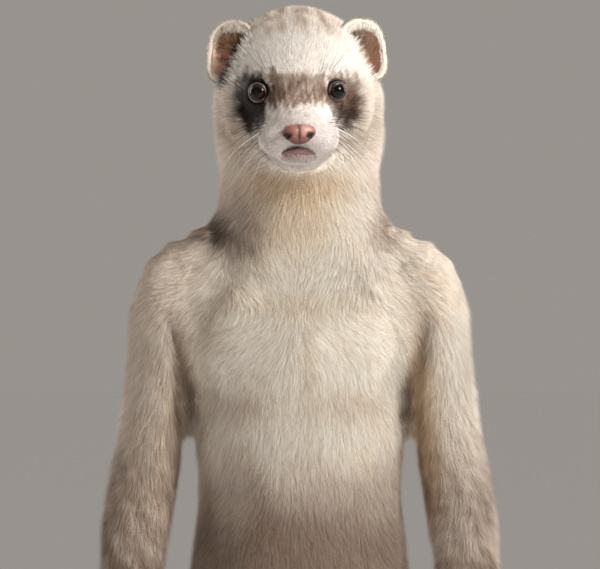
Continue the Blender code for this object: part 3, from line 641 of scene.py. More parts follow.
for side_name, side in (("left", 1), ("right", -1)):
    centre, radius, gaze, across, above = eyes[side]
    theta, phi = np.linspace(0, np.pi, 40)[:, None], np.linspace(0, 2 * np.pi, 48, endpoint=False)[None]
    bulge = radius + 0.22 * np.exp(-((theta / 0.55) ** 2))
    grid = centre + (bulge * np.cos(theta) + 0 * phi)[..., None] * gaze \
        + (bulge * np.sin(theta) * np.cos(phi))[..., None] * across \
        + (bulge * np.sin(theta) * np.sin(phi))[..., None] * above
    eye = closed_grid(f"eyeball_{side_name}", grid)
    lie = unit(points_of(eye) - centre) @ gaze
    layer = eye.data.attributes.new("ring", "FLOAT", "POINT")
    layer.data.foreach_set("value", (np.arccos(np.clip(lie, -1, 1)) / np.pi).astype(np.float32))
    eye.data.materials.append(eye_stuff)
    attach(eye, "root")
    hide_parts(f"eye_{side_name}")

# Lids. A rolled rim of bare pink-grey skin round each eye, a little pointed towards the nose, thinning into
# the fur. It is one ring of skin: from its edge on the eyeball, over the roll, and back into the head.
rim_flesh = bpy.data.materials.new("lid_skin")
shader, add, link = nodes_of(rim_flesh)
ring = add("ShaderNodeAttribute", attribute_name="ring")
lid_colour = add("ShaderNodeValToRGB", {"Fac": ring.outputs["Fac"]})
for stop, colour in zip((0.0, 0.22, 0.42, 0.8), linear((20, 13, 11), (62, 44, 38), (136, 110, 100), (34, 24, 20))):
    element = lid_colour.color_ramp.elements.new(stop) if stop else lid_colour.color_ramp.elements[0]
    element.color = (*colour, 1)
lid_colour.color_ramp.elements.remove(lid_colour.color_ramp.elements[-1])
link(lid_colour.outputs["Color"], shader.inputs["Base Color"])
pores = add("ShaderNodeTexNoise", {"Vector": add("ShaderNodeTexCoord").outputs["Object"], "Scale": 2600.0})
bump = add("ShaderNodeBump", {"Height": pores.outputs["Fac"], "Strength": 0.5, "Distance": 0.0002})
link(bump.outputs["Normal"], shader.inputs["Normal"])
shader.inputs["Roughness"].default_value = 0.42
shader.inputs["Subsurface Weight"].default_value = 0.0
LID_OPENING, LID_ROLL = np.radians(48.5), 0.40
for side_name, side in (("left", 1), ("right", -1)):
    centre, radius, gaze, across, above = eyes[side]
    phi = np.linspace(0, 2 * np.pi, 72, endpoint=False)[None]
    t = np.linspace(0, 1, 26)[:, None]
    nose_way = unit(np.array((-side, 0, -0.35)) - gaze * (np.array((-side, 0, -0.35)) @ gaze))
    corner = np.clip(np.cos(phi) * (nose_way @ across) + np.sin(phi) * (nose_way @ above), 0, 1) ** 6
    over = np.clip(0.92 * np.sin(phi) - 0.40 * side * np.cos(phi), 0, 1) ** 2
    opening = LID_OPENING * (1 + 0.18 * corner - 0.30 * over)
    theta = opening + t * np.radians(50)
    # from the edge at the eyeball, up over the roll, then under the surface of the head
    lift = LID_ROLL * np.sin(np.clip(t * 3.2, 0, 1) * np.pi / 2) - 2.6 * ramp(t, 0.45, 1.0)
    reach = radius + 0.02 + lift + 0 * phi
    inner = radius - 0.5 + 0 * reach[:1]
    reach = np.vstack([inner, reach, inner])
    theta = np.vstack([theta[:1], theta, theta[-1:]]) + 0 * reach
    grid = centre + (reach * np.cos(theta))[..., None] * gaze + (reach * np.sin(theta) * np.cos(phi))[..., None] * across \
        + (reach * np.sin(theta) * np.sin(phi))[..., None] * above
    lids = closed_grid(f"lids_{side_name}", np.concatenate([grid, grid[:1]]))
    offset = points_of(lids) - centre
    angle = np.arccos(np.clip(unit(offset) @ gaze, -1, 1))
    layer = lids.data.attributes.new("ring", "FLOAT", "POINT")
    outer_way = unit(offset) @ above - 0.7 * side * unit(offset) @ across
    share = (angle - LID_OPENING) / np.radians(34) * (1 + 2.2 * ramp(outer_way, -0.45, 0.35))
    layer.data.foreach_set("value", np.clip(share, 0, 1).astype(np.float32))
    lids.data.materials.append(rim_flesh)
    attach(lids, "root")


# Nose. The bare, moist pad: a wide pillow with a flat top, a groove down its middle and two comma-shaped
# nostrils that open to the sides. It grows out of the end of the muzzle.
NOSE_TILT = np.radians(-8.0)
nose_at, nose_half = middle_of("nose")
nose_at = nose_at + np.array((0.15, 0.3, -0.6))
rows, around = 90, 128
theta, phi = np.linspace(0, np.pi, rows)[:, None], np.linspace(0, 2 * np.pi, around, endpoint=False)[None]
c, w = np.cos(theta) + 0 * phi, np.sin(theta) * np.cos(phi)
h = np.sin(theta) * np.sin(phi)
# a rounded box: each direction is stretched towards the corners by a power below 1
w, h = np.sign(w) * np.abs(w) ** 0.82, np.sign(h) * np.abs(h) ** 0.82
width = 6.5 * (1 - 0.34 * ramp(-h, -0.35, 1.0) + 0.02 * h)
nx, nz, ny = w * width, h * 3.7 + 0.25 * np.abs(w) ** 2 * ramp(h, 0.0, 0.8), c * 4.3
front = ramp(c, 0.0, 0.35)
groove = np.exp(-((nx / 0.50) ** 2)) * (0.25 + 0.5 * ramp(-nz, -1.5, 2.5))
lobes = 0.35 * np.exp(-(((np.abs(nx) - 2.6) / 1.7) ** 2)) * np.exp(-(((nz - 0.8) / 1.9) ** 2))
hole = np.exp(-((((np.abs(nx) - 3.9) / 1.10) ** 2 + ((nz + 0.95 + 0.35 * (np.abs(nx) - 3.9)) / 0.92) ** 2) ** 1.3))
slit = np.exp(-((((np.abs(nx) - 5.0) / 1.3) ** 2 + ((nz + 0.35) / 0.45) ** 2) ** 1.2))
ny = ny + front * (lobes - groove - 2.3 * hole - 1.1 * slit)
tilt = np.array(((1, 0, 0), (0, np.cos(NOSE_TILT), -np.sin(NOSE_TILT)), (0, np.sin(NOSE_TILT), np.cos(NOSE_TILT))))
grid = np.stack([nx, -ny, nz], -1) @ tilt.T @ roll.T + nose_at
nose = closed_grid("nose_pad", grid)
local = (points_of(nose) - nose_at) @ roll @ tilt
# dark marks the nostrils and, further down, the slits beside them: painted shade in their openings, near black
dark = np.exp(-((((np.abs(local[:, 0]) - 3.95) / 1.35) ** 2 + ((local[:, 2] + 0.95) / 1.15) ** 2) ** 1.3)) * (local[:, 1] < 0)
pad_tones = linear((156, 102, 88), (98, 54, 44), (204, 162, 146), (36, 14, 12))
tone = np.repeat(pad_tones[0][None], len(local), 0)
# painted shade along the pad's lower edge and on its right side, and a painted highlight on its upper left lobe
tone = painted(tone, pad_tones[1], 0.80 * ramp(-local[:, 2], 0.2, 3.2))
tone = painted(tone, pad_tones[1], 0.45 * ramp(-local[:, 0], 1.0, 5.5))
tone = painted(tone, pad_tones[2], 0.85 * blob(local, (2.6, -4.0, 1.2), (2.2, 5.0, 1.6), 0.8))
dark = dark + np.exp(-(((np.abs(local[:, 0]) - 5.2) / 1.0) ** 2 + ((local[:, 2] + 0.2) / 0.55) ** 2)) * (local[:, 1] < 0)
tone = painted(tone, pad_tones[1], 0.70 * ramp(np.abs(local[:, 0]) + 0.6 * np.abs(local[:, 2]), 5.4, 7.2))
# painted shade along the groove down the pad's middle
tone = painted(tone, pad_tones[1], 0.80 * np.exp(-((local[:, 0] / 0.85) ** 2)))
tone = painted(tone, pad_tones[3], 1.1 * dark)
give_colours(nose, tone)
pad = bpy.data.materials.new("nose_pad")
shader, add, link = nodes_of(pad)
marked = add("ShaderNodeAttribute", attribute_name="coat")
place = add("ShaderNodeTexCoord")
cobbles = add("ShaderNodeTexVoronoi", {"Vector": place.outputs["Object"], "Scale": 2100.0}, feature="SMOOTH_F1")
mottle = add("ShaderNodeTexNoise", {"Vector": place.outputs["Object"], "Scale": 700.0, "Detail": 3.0})
mixed = add("ShaderNodeMix", {0: 0.4, 6: marked.outputs["Color"], 7: mottle.outputs["Fac"]},
            data_type="RGBA", blend_type="SOFT_LIGHT")
link(mixed.outputs[2], shader.inputs["Base Color"])
bump = add("ShaderNodeBump", {"Height": cobbles.outputs["Distance"], "Strength": 0.35, "Distance": 0.00022})
link(bump.outputs["Normal"], shader.inputs["Normal"])
wet = add("ShaderNodeMapRange", {"Value": mottle.outputs["Fac"], "To Min": 0.36, "To Max": 0.56})
link(wet.outputs["Result"], shader.inputs["Roughness"])
shader.inputs["Coat Weight"].default_value = 0.12
shader.inputs["Coat Roughness"].default_value = 0.25
nose.data.materials.append(pad)
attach(nose, "root")
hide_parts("nose")

# Mouth. Closed, with its corners drawn down: under the dark line between the lips, partly the lip's own dark
# edge and partly painted shade under the upper lip, shows the bare, mauve-grey edge of the lower lip, which
# pales into the short white hair of the chin.
across_lip, down_lip = np.linspace(-1, 1, 61)[:, None], np.linspace(0, 1, 21)[None]


def lip_surface(across, down, lift=0.0):
    """A point of the lower lip: across from corner to corner, -1 to 1, and down from the line between the lips
    to the lip's base. It starts under the upper lip and comes up level with the fur."""
    top = lip_line(LIP_HALF_WIDTH * across - 0.9)
    base = LIP_BASE + (LIP_APEX - LIP_DROP - LIP_BASE) * np.abs(across) ** 2.2
    x, z = LIP_HALF_WIDTH * across - 0.9 + 0 * down, top + (base - top) * down
    swell = 0.35 * (1 - across**2) ** 0.5 * np.sin(np.pi * down**0.8)
    return np.stack([x, muzzle_front(x, z) + 0.55 - 0.65 * down**0.45 - swell - lift, z], -1)


outer = lip_surface(across_lip, down_lip)
inner = outer + np.array((0, 2.2, 0))
lip = closed_grid("lower_lip", np.concatenate([outer, inner[:, ::-1]], 1))
local = points_of(lip)
lip_tones = linear((130, 96, 92), (66, 42, 40), (180, 155, 148))
tone = np.repeat(lip_tones[0][None], len(local), 0)
corner_way = np.abs(local[:, 0] + 0.9) / LIP_HALF_WIDTH
lip_end = LIP_BASE + (LIP_APEX - LIP_DROP - LIP_BASE) * corner_way**2.2
lip_top = lip_line(local[:, 0])
share = (lip_top - local[:, 2]) / np.maximum(lip_top - lip_end, 0.5)
# the lip's top band is dark: painted shade under the upper lip, over the lip's own dark edge
tone = painted(tone, lip_tones[1], 0.9 * ramp(share, 0.26, 0.04) * (1 - 0.4 * corner_way**2))
tone = painted(tone, lip_tones[2], 0.9 * ramp(share, 0.40, 0.72))
tone = painted(tone, CHALK, ramp(share, 0.62, 0.90))
give_colours(lip, tone)
lip_skin = bpy.data.materials.new("lip_skin")
shader, add, link = nodes_of(lip_skin)
marked = add("ShaderNodeAttribute", attribute_name="coat")
creases = add("ShaderNodeTexNoise", {"Vector": add("ShaderNodeTexCoord").outputs["Object"], "Scale": 1400.0})
mixed = add("ShaderNodeMix", {0: 0.35, 6: marked.outputs["Color"], 7: creases.outputs["Fac"]},
            data_type="RGBA", blend_type="SOFT_LIGHT")
link(mixed.outputs[2], shader.inputs["Base Color"])
bump = add("ShaderNodeBump", {"Height": creases.outputs["Fac"], "Strength": 0.4, "Distance": 0.0003})
link(bump.outputs["Normal"], shader.inputs["Normal"])
shader.inputs["Roughness"].default_value = 0.5
lip.data.materials.append(lip_skin)
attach(lip, "root")

# Ears. Each is a thin bowl of skin that opens forwards and outwards, with a rolled rim and two folds across
# its inside. Its base is sunk in the fur of the head.
EAR_SIZES, EAR_PLACE, EAR_SWEEP = np.array((9.0, 8.3, 11.3)), (0.5, 24.4, 3.7), np.pi / 2 + 0.10
EAR_TURN, EAR_TIP_BACK, EAR_LEAN = np.radians((27.0, 8.0, 4.0))


def turned(axis, angle):
    """The matrix that turns by an angle about an axis: 0 for x, 1 for y, 2 for z."""
    a, b = [k for k in range(3) if k != axis]
    matrix = np.eye(3)
    matrix[a, a] = matrix[b, b] = np.cos(angle)
    matrix[a, b], matrix[b, a] = -np.sin(angle), np.sin(angle)
    return matrix if axis != 1 else matrix.T


def ear_frame(side):
    """The matrix whose columns are the ear's width, depth and height, and the middle of its opening."""
    matrix = turned(2, side * EAR_TURN) @ turned(0, -EAR_TIP_BACK) @ turned(1, -side * EAR_LEAN)
    return matrix * np.array((side, 1, 1)), from_head((EAR_PLACE[0], side * EAR_PLACE[1], EAR_PLACE[2]))


def squareness(angle):
    """The power that squares off the ear's rim: lowest at the lower outer corner, where it meets the cheek."""
    gap = (angle + np.pi / 4 + np.pi) % (2 * np.pi) - np.pi
    return 0.76 - 0.18 * np.exp(-((gap / 0.7) ** 2))


def ear_point(side, sweep, angle, out):
    """A point of the left or right ear's bowl: sweep runs from its deepest point to its rim and angle round
    it, 0 at the outer edge; out is the distance outside the middle of its wall. The bowl is an ellipsoid whose
    rim is squared off by a power."""
    c, s, power = np.cos(angle), np.sin(angle), squareness(angle)
    c, s = np.sign(c) * np.abs(c) ** power, np.sign(s) * np.abs(s) ** power
    base = np.stack([np.sin(sweep) * c, np.cos(sweep) + 0 * c, np.sin(sweep) * s], -1) * EAR_SIZES
    base = base + unit(base / EAR_SIZES**2) * np.asarray(out)[..., None]
    matrix, middle = ear_frame(side)
    return base @ matrix.T + middle


ear_skin = bpy.data.materials.new("ear_skin")
shader, add, link = nodes_of(ear_skin)
marked = add("ShaderNodeAttribute", attribute_name="coat")
place = add("ShaderNodeTexCoord")
veins = add("ShaderNodeTexNoise", {"Vector": place.outputs["Object"], "Scale": 260.0, "Detail": 6.0})
mixed = add("ShaderNodeMix", {0: 0.7, 6: marked.outputs["Color"], 7: veins.outputs["Fac"]},
            data_type="RGBA", blend_type="SOFT_LIGHT")
link(mixed.outputs[2], shader.inputs["Base Color"])
bump = add("ShaderNodeBump", {"Height": veins.outputs["Fac"], "Strength": 0.6, "Distance": 0.0005})
link(bump.outputs["Normal"], shader.inputs["Normal"])
shader.inputs["Roughness"].default_value = 0.6
shader.inputs["Specular IOR Level"].default_value = 0.3
ear_tones = linear((244, 192, 168), (204, 124, 94), (236, 220, 202), (122, 76, 58))
for side_name, side in (("left", 1), ("right", -1)):
    rows = 34
    t = np.linspace(0, 1, rows)
    angle = np.linspace(0, 2 * np.pi, 80, endpoint=False)
    sweep_in, out_in = EAR_SWEEP * t, -0.45 - 0.35 * t**4
    turn = np.linspace(-np.pi / 2, np.pi / 2, 9)[1:-1]
    sweep = np.concatenate([sweep_in, EAR_SWEEP + 0.045 * np.cos(turn), sweep_in[::-1]])
    out = np.concatenate([out_in, 0.80 * np.sin(turn), -out_in[::-1]])
    inside = (np.arange(len(sweep)) < rows)[:, None]
    sweep, out, angle = sweep[:, None] + 0 * angle[None], out[:, None] + 0 * angle[None], angle[None] + 0 * sweep[:, None]
    fold = np.exp(-(((angle - 2.0) / 0.30) ** 2)) * ramp(sweep, 0.45, 0.9) * ramp(1.5 - sweep, 0, 0.3)
    fold2 = np.exp(-(((angle - 5.6) / 0.35) ** 2)) * ramp(sweep, 0.35, 0.8) * ramp(1.5 - sweep, 0, 0.3)
    out = out - inside * (1.5 * fold + 1.0 * fold2)
    ear = closed_grid(f"ear_shell_{side_name}", ear_point(side, sweep, angle, out))
    at = points_of(ear)
    matrix, middle = ear_frame(side)
    bowl = (at - middle) @ matrix / EAR_SIZES
    power = squareness(np.arctan2(bowl[:, 2], bowl[:, 0]))
    squared = (np.abs(bowl[:, 0]) ** (2 / power) + np.abs(bowl[:, 2]) ** (2 / power)) ** (power / 2)
    reach = np.hypot(squared, bowl[:, 1])
    rim = ramp(-bowl[:, 1], -0.22, 0.02)
    hollow = (reach < 1.0) * (1 - rim)
    tone = np.repeat(ear_tones[2][None], len(at), 0)
    tone = painted(tone, ear_tones[0], hollow)
    # the hollow darkens deeper in and towards its inner edge: partly the ear's redder skin, partly painted shade, much
    # less of it in the left ear
    tone = painted(tone, ear_tones[1], (0.49 - 0.41 * side) * hollow * ramp(bowl[:, 1], 0.35, 0.95))
    tone = painted(tone, ear_tones[3], (0.36 - 0.29 * side) * hollow * ramp(-bowl[:, 0], 0.45, 0.95))
    give_colours(ear, tone)
    ear.data.materials.append(ear_skin)
    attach(ear, "root")
    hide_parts(f"ear_{side_name}")


# Coat. Fine tapered locks of hair, five to a tuft, rooted in the skin and lying along the body: back from
# the nose over the head, down the neck and trunk, along the legs to the toes and along the tail. Each
# stands off the skin by the coat's depth at its tip, and bends with the body under it.
TAIL_LINE = np.array(((0, 30, 84), (1, 46, 66), (3, 62, 44), (7, 78, 25), (13, 99, 13.4), (23, 121, 11.4),
                      (38, 141, 10.2), (55, 156, 8.4), (69, 164, 5.8), (80, 170, 5.0)), float)
NOSE_ROOT = from_head((57.0, 0.0, -9.0))


def tail_way(p):
    """The tail's direction beside each point: the mean of its stretches' directions, weighted by nearness."""
    middles, ways = (TAIL_LINE[1:] + TAIL_LINE[:-1]) / 2, unit(TAIL_LINE[1:] - TAIL_LINE[:-1])
    gap = ((p[:, None] - middles[None]) ** 2).sum(2)
    weight = np.exp(-gap / 140) + 1e-9
    return unit((weight[:, :, None] * ways[None]).sum(1))


def laid_over(way, other, weight):
    """A direction blended with another by weight, not made unit."""
    return way + weight[:, None] * (np.asarray(other) - way)


def lie_of_coat(p, normal):
    """The direction in which hair lies at each point of the skin, along the skin."""
    part = parts_at(p)
    x, y, z = p.T
    sign = np.tanh(x / 6)
    front = ramp(-normal[:, 1], -0.1, 0.5)
    way = np.stack([0 * x, 0 * x, -1 + 0 * x], 1)
    # down the neck the hair fans out, then turns in to meet over the breastbone; below a parting there it
    # fans out again, and off the neck's base it runs out over the shoulders
    far = np.abs(x)
    way[:, 0] += front * 0.016 * x * ramp(z, 284, 296)
    meeting = front * ramp(32 - far, 0, 8) * ramp(z, 257, 266) * ramp(292 - z, 0, 10)
    way = laid_over(way, np.stack([-sign * 0.62, 0 * x, -0.8 + 0 * x], 1), 0.85 * meeting)
    fanning = front * ramp(z, 228, 252) * ramp(262 - z, 0, 6) * ramp(46 - far, 0, 10)
    way = laid_over(way, np.stack([sign * 0.95, 0 * x, -0.55 + 0 * x], 1), 0.8 * fanning)
    shoulder = ramp(far, 24, 34) * ramp(z, 232, 262) * ramp(314 - z, 14, 32)
    steep = ramp(z, 240, 280)[:, None]
    shoulder = shoulder * (1 - 0.85 * ramp(y + 10 * normal[:, 1], 8, 20) * ramp(286 - z, 0, 14))
    way = laid_over(way, np.stack([sign, 0 * x, 0 * x], 1) * (0.55 + 0.45 * steep)
                    - np.array((0, 0, 1)) * (0.95 - 0.60 * steep), 0.9 * shoulder)
    way = laid_over(way, np.stack([0.12 * sign, 0 * x, -1 + 0 * x], 1), part["arm"] * ramp(256 - z, 0, 22))
    for name, other in ( ("leg", (0.25, 0.25, -1)), ("shank", (0, 0.35, -1)),
                        ("foot", (0.1, -1, -0.15))):
        other = np.repeat(np.array(other, float)[None], len(p), 0)
        other[:, 0] *= np.sign(x)
        way = laid_over(way, other, part[name])
    way = laid_over(way, tail_way(p), part["tail"])
    from_nose = unit(p - NOSE_ROOT)
    head = part["head"]
    way = laid_over(way, from_nose + np.stack([0 * x, 0.25 + 0 * x, -0.15 - 0.5 * ramp(np.abs(x), 20, 30)], 1), head)
    way = unit(way - (way * normal).sum(1)[:, None] * normal)
    swirl = 0.16 * ripple(p, 30, 21) * (1 - 0.6 * head) + 0.10 * ripple(p, 9, 22)
    across = np.cross(normal, way)
    way = unit(way + swirl[:, None] * across)
    for side in (1, -1):
        centre, _, gaze, right, above = eyes[side]
        a, b, h = ((p - centre) @ np.stack([right, above, gaze], 1)).T
        rho = np.maximum(np.hypot(a, b), 0.1)
        outward = (a / rho)[:, None] * right + (b / rho)[:, None] * above
        outward = unit(outward - (outward * normal).sum(1)[:, None] * normal)
        near = (h > -6) * ramp(9.0 - rho, 0, 4.5)
        towards = np.minimum((way * outward).sum(1), 0)
        way = unit(way - (near * 1.5 * towards - 0.35 * near)[:, None] * outward)
    return way


def coat_manner(p):
    """Length and width of the hair, and hairs to a square millimetre, at each point of the skin."""
    part = parts_at(p)
    u, s, v = in_head(p).T
    back = ramp(p[:, 1] - 12, 0, 16)
    length = 7.6 + 3.6 * back
    width = 0.19 + 0.17 * back
    many = (17.0 - 10.5 * back) * (1 - 0.45 * ramp(168 - p[:, 2], 0, 30))
    face = 6.0 - 2.6 * ramp(u, 20, 40) - 1.0 * ramp(u, 42, 52) + 2.0 * ramp(np.abs(s), 16, 24) * ramp(-v, 0, 12) \
        + 2.2 * ramp(-v, 15, 22)
    for name, own_length, own_width, own_many in (
            ("neck", 7.8 + 0 * u, 0.19 + 0.14 * back, 17.0 - 9.5 * back),
            ("arm", 7.2 + 0 * u, 0.20 + 0.10 * back, 13.5 - 6.5 * back),
            ("forearm", 6.8 + 0 * u, 0.20 + 0.10 * back, 13.5 - 6.5 * back),
            ("head", face, 0.17 - 0.03 * ramp(u, 34, 46) + 0.13 * ramp(-u, -12, 8), 31.0 - 20.0 * ramp(-u, -14, 8)),
            ("paw", 3.2 + 0 * u, 0.26 + 0 * u, 9.0 + 0 * u), ("leg", 10.0 + 0 * u, 0.48 + 0 * u, 1.8 + 0 * u),
            ("shank", 7.0 + 0 * u, 0.44 + 0 * u, 2.3 + 0 * u), ("foot", 3.2 + 0 * u, 0.28 + 0 * u, 8.0 + 0 * u),
            ("tail", 16.0 - 6.0 * ramp(p[:, 0], 45, 70), 0.52 + 0 * u, 2.1 + 0 * u)):
        length = length + part[name] * (own_length - length)
        width = width + part[name] * (own_width - width)
        many = many + part[name] * (own_many - many)
    turn = np.exp(-(((np.abs(p[:, 0]) - 50) / 11) ** 2) - ((p[:, 2] - 280) / 12) ** 2)
    length = length * (1 - 0.32 * turn)
    bare = np.zeros(len(p))
    for side in (1, -1):
        centre, _, gaze, right, above = eyes[side]
        a, b, h = ((p - centre) @ np.stack([right, above, gaze], 1)).T
        rho = np.hypot(a, b)
        bare = np.maximum(bare, (rho < 3.75) & (h > -4))
        length = length * (1 - 0.62 * (h > -6) * ramp(8.5 - rho, 0, 4.2))
    to_pad = (p - nose_at) / np.array((6.2, 5.4, 3.7))
    bare = np.maximum(bare, np.linalg.norm(to_pad, axis=1) < 1)
    on_lip = (np.abs(p[:, 0] + 0.9) < LIP_HALF_WIDTH - 0.3) & (p[:, 1] < -38) & (p[:, 2] < lip_line(p[:, 0]))
    bare = np.maximum(bare, on_lip * (0.25 + 0.75 * ramp(p[:, 2] - LIP_BASE, 1.4, 4.0)))
    return length, width, many * (1 - bare)


skin_lie = lie_of_coat(skin_points, skin_normals)
for _ in range(5):
    skin_lie = neighbours_mean(skin_lie)
    skin_lie = unit(skin_lie - (skin_lie * skin_normals).sum(1)[:, None] * skin_normals)
skin_length, skin_width, skin_many = coat_manner(skin_points)
on_head = parts_at(skin_points)["head"]
far_up = ramp(skin_points[:, 2], 258, 292)
skin_height = np.minimum((1.36 - 0.36 * far_up) * inset[:, 0], 0.66 * skin_length)
skin_height = skin_height + 0.7 * on_head * ramp(-in_head(skin_points)[:, 2], 15, 22)
# fuller tufts at the corners of the crown, under the ears, where the neck runs out into the shoulders, and
# between foreleg and trunk, and on the thighs
for (x0, z0), (wide, high), more in (((19, 364), (6, 6), 1.7), ((31, 343), (6, 7), 2.5), ((36, 288), (5, 4), 0.8), ((57, 276), (8, 8), 0.9),
                                   ((43, 196), (6, 22), 1.3), ((28, 72), (16, 14), 2.6)):
    gap = np.hypot((np.abs(skin_points[:, 0] + 0.9 * (z0 > 300)) - x0) / wide, (skin_points[:, 2] - z0) / high)
    skin_height = skin_height + more * np.exp(-(gap**2)) * ramp(24 - skin_points[:, 1], 0, 10)
turn = np.exp(-(((np.abs(skin_points[:, 0]) - 50) / 12) ** 2) - ((skin_points[:, 2] - 279) / 13) ** 2)
skin_height = skin_height * (1 - 0.60 * turn)
start, end = skin_faces.ravel(), np.roll(skin_faces, -1, 1).ravel()
leap, lean = skin_points[end] - skin_points[start], skin_normals[end] - skin_normals[start]
along = (leap * skin_lie[start]).sum(1)
turning = np.bincount(start, (lean * skin_lie[start]).sum(1) * along, len(skin_points))
skin_bend = turning / np.maximum(np.bincount(start, along**2, len(skin_points)), 1e-6)
for _ in range(3):
    skin_bend = neighbours_mean(skin_bend)[:, 0]
skin_bend = np.clip(skin_bend + 0.02 * turn, -0.004, 0.11)

corners = skin_points[skin_faces]
quad_area = np.linalg.norm(np.cross(corners[:, 2] - corners[:, 0], corners[:, 3] - corners[:, 1]), axis=1) / 2
quad_middle = corners.mean(1)
quad_many = skin_many[skin_faces].mean(1)
HAIRS = 5


def round_axis(p, middle, along):
    """Where points lie on a cylinder's unwrap: the angle round its axis and the height along it, both 0 to 1."""
    side, up = axes_round(unit(np.array(along, float)), (0.02, 1, 0.01))
    from_axis = p - np.array(middle)
    turn = np.arctan2(from_axis @ side, from_axis @ -up) / (2 * np.pi) + 0.5
    rise = from_axis @ unit(np.array(along, float))
    return np.stack([turn, (rise - rise.min()) / np.ptp(rise)], 1)


def round_head(p):
    """Where points lie on a globe's unwrap, whose centre is in the skull and whose seam is at the nape."""
    u, s, v = in_head(p - (from_head((14, 0, -8)) - HEAD_ORIGIN)).T
    return np.stack([np.arctan2(s, u) / (2 * np.pi) + 0.5, np.arctan2(v, np.hypot(u, s)) / np.pi + 0.5], 1)


def patchy(colours, rng, share):
    """Each tuft's colour, a little lighter or darker and warmer or cooler than its neighbours'."""
    light = np.exp(share * rng.normal(size=(len(colours), 1)))
    warm = 1 + 0.35 * share * rng.normal(size=(len(colours), 1)) * np.array((1, 0, -1))
    return colours * light * warm


def grow(name, roots, normals, lies, lengths, widths, heights, bends, colours, chart, seed, rings=3, clump=0.9, calm=1.0):
    """A piece of coat: at each root, a tuft of HAIRS flat tapered hairs that start round it and draw
    together. A hair's middle line runs s * length along the skin, rises to its height as 1.5 s - 0.5 s^2, and
    falls with the body's curve, bend * (s * length)^2 / 2. Its blade is widest near the root, and ends in a
    point. Its normals are mostly the skin's, so that the coat takes light as one soft surface."""
    rng = np.random.default_rng(seed)
    count = len(roots) * HAIRS
    own = np.repeat(np.arange(len(roots)), HAIRS)
    n, t = normals[own], lies[own]
    across = np.cross(t, n)
    swing = 0.09 * rng.normal(size=count) + np.repeat(0.08 * rng.normal(size=len(roots)), HAIRS)
    t = unit(t + swing[:, None] * across)
    across = np.cross(t, n)
    reach, angle = clump * np.sqrt(rng.random(count)), 2 * np.pi * rng.random(count)
    aside, ahead = reach * np.cos(angle), reach * np.sin(angle)
    length = lengths[own] * rng.uniform(0.68, 1.12, count)
    height = heights[own] * rng.uniform(0.45, 1.0, count)
    width = widths[own] * rng.uniform(0.7, 1.2, count)
    tilt = rng.normal(size=count) * 0.30
    blade = across * np.cos(tilt)[:, None] + n * np.sin(tilt)[:, None]
    s = np.linspace(0, 1, rings + 1)[None, :, None]
    root = roots[own] + across * aside[:, None] + t * ahead[:, None] - n * 0.25
    line = root[:, None] + t[:, None] * (s * length[:, None, None]) \
        + n[:, None] * (height[:, None, None] * (1.5 * s - 0.5 * s**2)
                        - 0.5 * bends[own][:, None, None] * (s * length[:, None, None]) ** 2) \
        - across[:, None] * (0.45 * aside[:, None, None] * s**1.5)
    line[..., 2] = np.maximum(line[..., 2], 0.15)
    half = 0.5 * width[:, None, None] * (1 - s**1.6) * (0.75 + s * 0.5)
    left, right = line - blade[:, None] * half, line + blade[:, None] * half
    pairs = np.stack([left[:, :-1], right[:, :-1]], 2).reshape(count, 2 * rings, 3)
    points = np.concatenate([pairs, line[:, -1:]], 1)
    per = 2 * rings + 1
    k = np.arange(rings - 1)
    strip = np.concatenate([np.stack([2 * k, 2 * k + 1, 2 * k + 3], 1), np.stack([2 * k, 2 * k + 3, 2 * k + 2], 1),
                            [(2 * rings - 2, 2 * rings - 1, 2 * rings)]])
    faces = (np.arange(count)[:, None, None] * per + strip[None]).reshape(-1, 3)
    piece = new_piece(name, (points.reshape(-1, 3) + MAKERS_SHIFT) / 1000, faces)
    grade = np.append(np.repeat(np.arange(rings) / rings, 2), 1.0)
    calm = np.broadcast_to(calm, len(roots))[own][:, None]
    tone = patchy(colours, rng, 0.08)[own] * np.exp(0.15 * calm * rng.normal(size=(count, 1)))
    # a share of darker, browner hairs, and every hair darker towards its root: partly the coat's mixed tones and
    # lighter tips, partly painted shade between the locks
    tone = tone * np.where(rng.random((count, 1)) < 0.22 * calm, np.array((0.66, 0.58, 0.50)), 1.05)
    tone = tone[:, None] * (0.80 + 0.26 * grade[None, :, None])
    give_colours(piece, tone.reshape(-1, 3))
    soft = unit(n + 0.30 * blade * rng.normal(size=(count, 1)) - 0.12 * t)
    bent = unit(soft[:, None] + 0.25 * t[:, None] * grade[None, :, None])
    piece.data.normals_split_custom_set_from_vertices(bent.reshape(-1, 3).astype(np.float32))
    strand = np.tile(np.arange(HAIRS), len(roots))
    local_u = (strand[:, None] + np.append(np.tile((0.15, 0.85), rings), 0.5)[None]) / HAIRS - 0.5
    where = 0.01 + 0.98 * chart[own][:, None] + 0.003 * np.stack([local_u, grade[None] - 0.5 + 0 * local_u], -1)
    unwrap = piece.data.uv_layers.new(name="OFBake")
    unwrap.data.foreach_set("uv", where.reshape(-1, 2)[faces.ravel()].astype(np.float32).ravel())
    piece.data.materials.append(fur)
    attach(piece, "root")
    print("COAT", name, len(roots), len(faces))
    return piece


fur = bpy.data.materials.new("fur")
shader, add, link = nodes_of(fur)
marked = add("ShaderNodeAttribute", attribute_name="coat")
fine = add("ShaderNodeTexNoise", {"Vector": add("ShaderNodeTexCoord").outputs["Object"], "Scale": 1300.0})
mixed = add("ShaderNodeMix", {0: 0.35, 6: marked.outputs["Color"], 7: fine.outputs["Fac"]},
            data_type="RGBA", blend_type="SOFT_LIGHT")
link(mixed.outputs[2], shader.inputs["Base Color"])
shader.inputs["Roughness"].default_value = 0.62
shader.inputs["Specular IOR Level"].default_value = 0.12

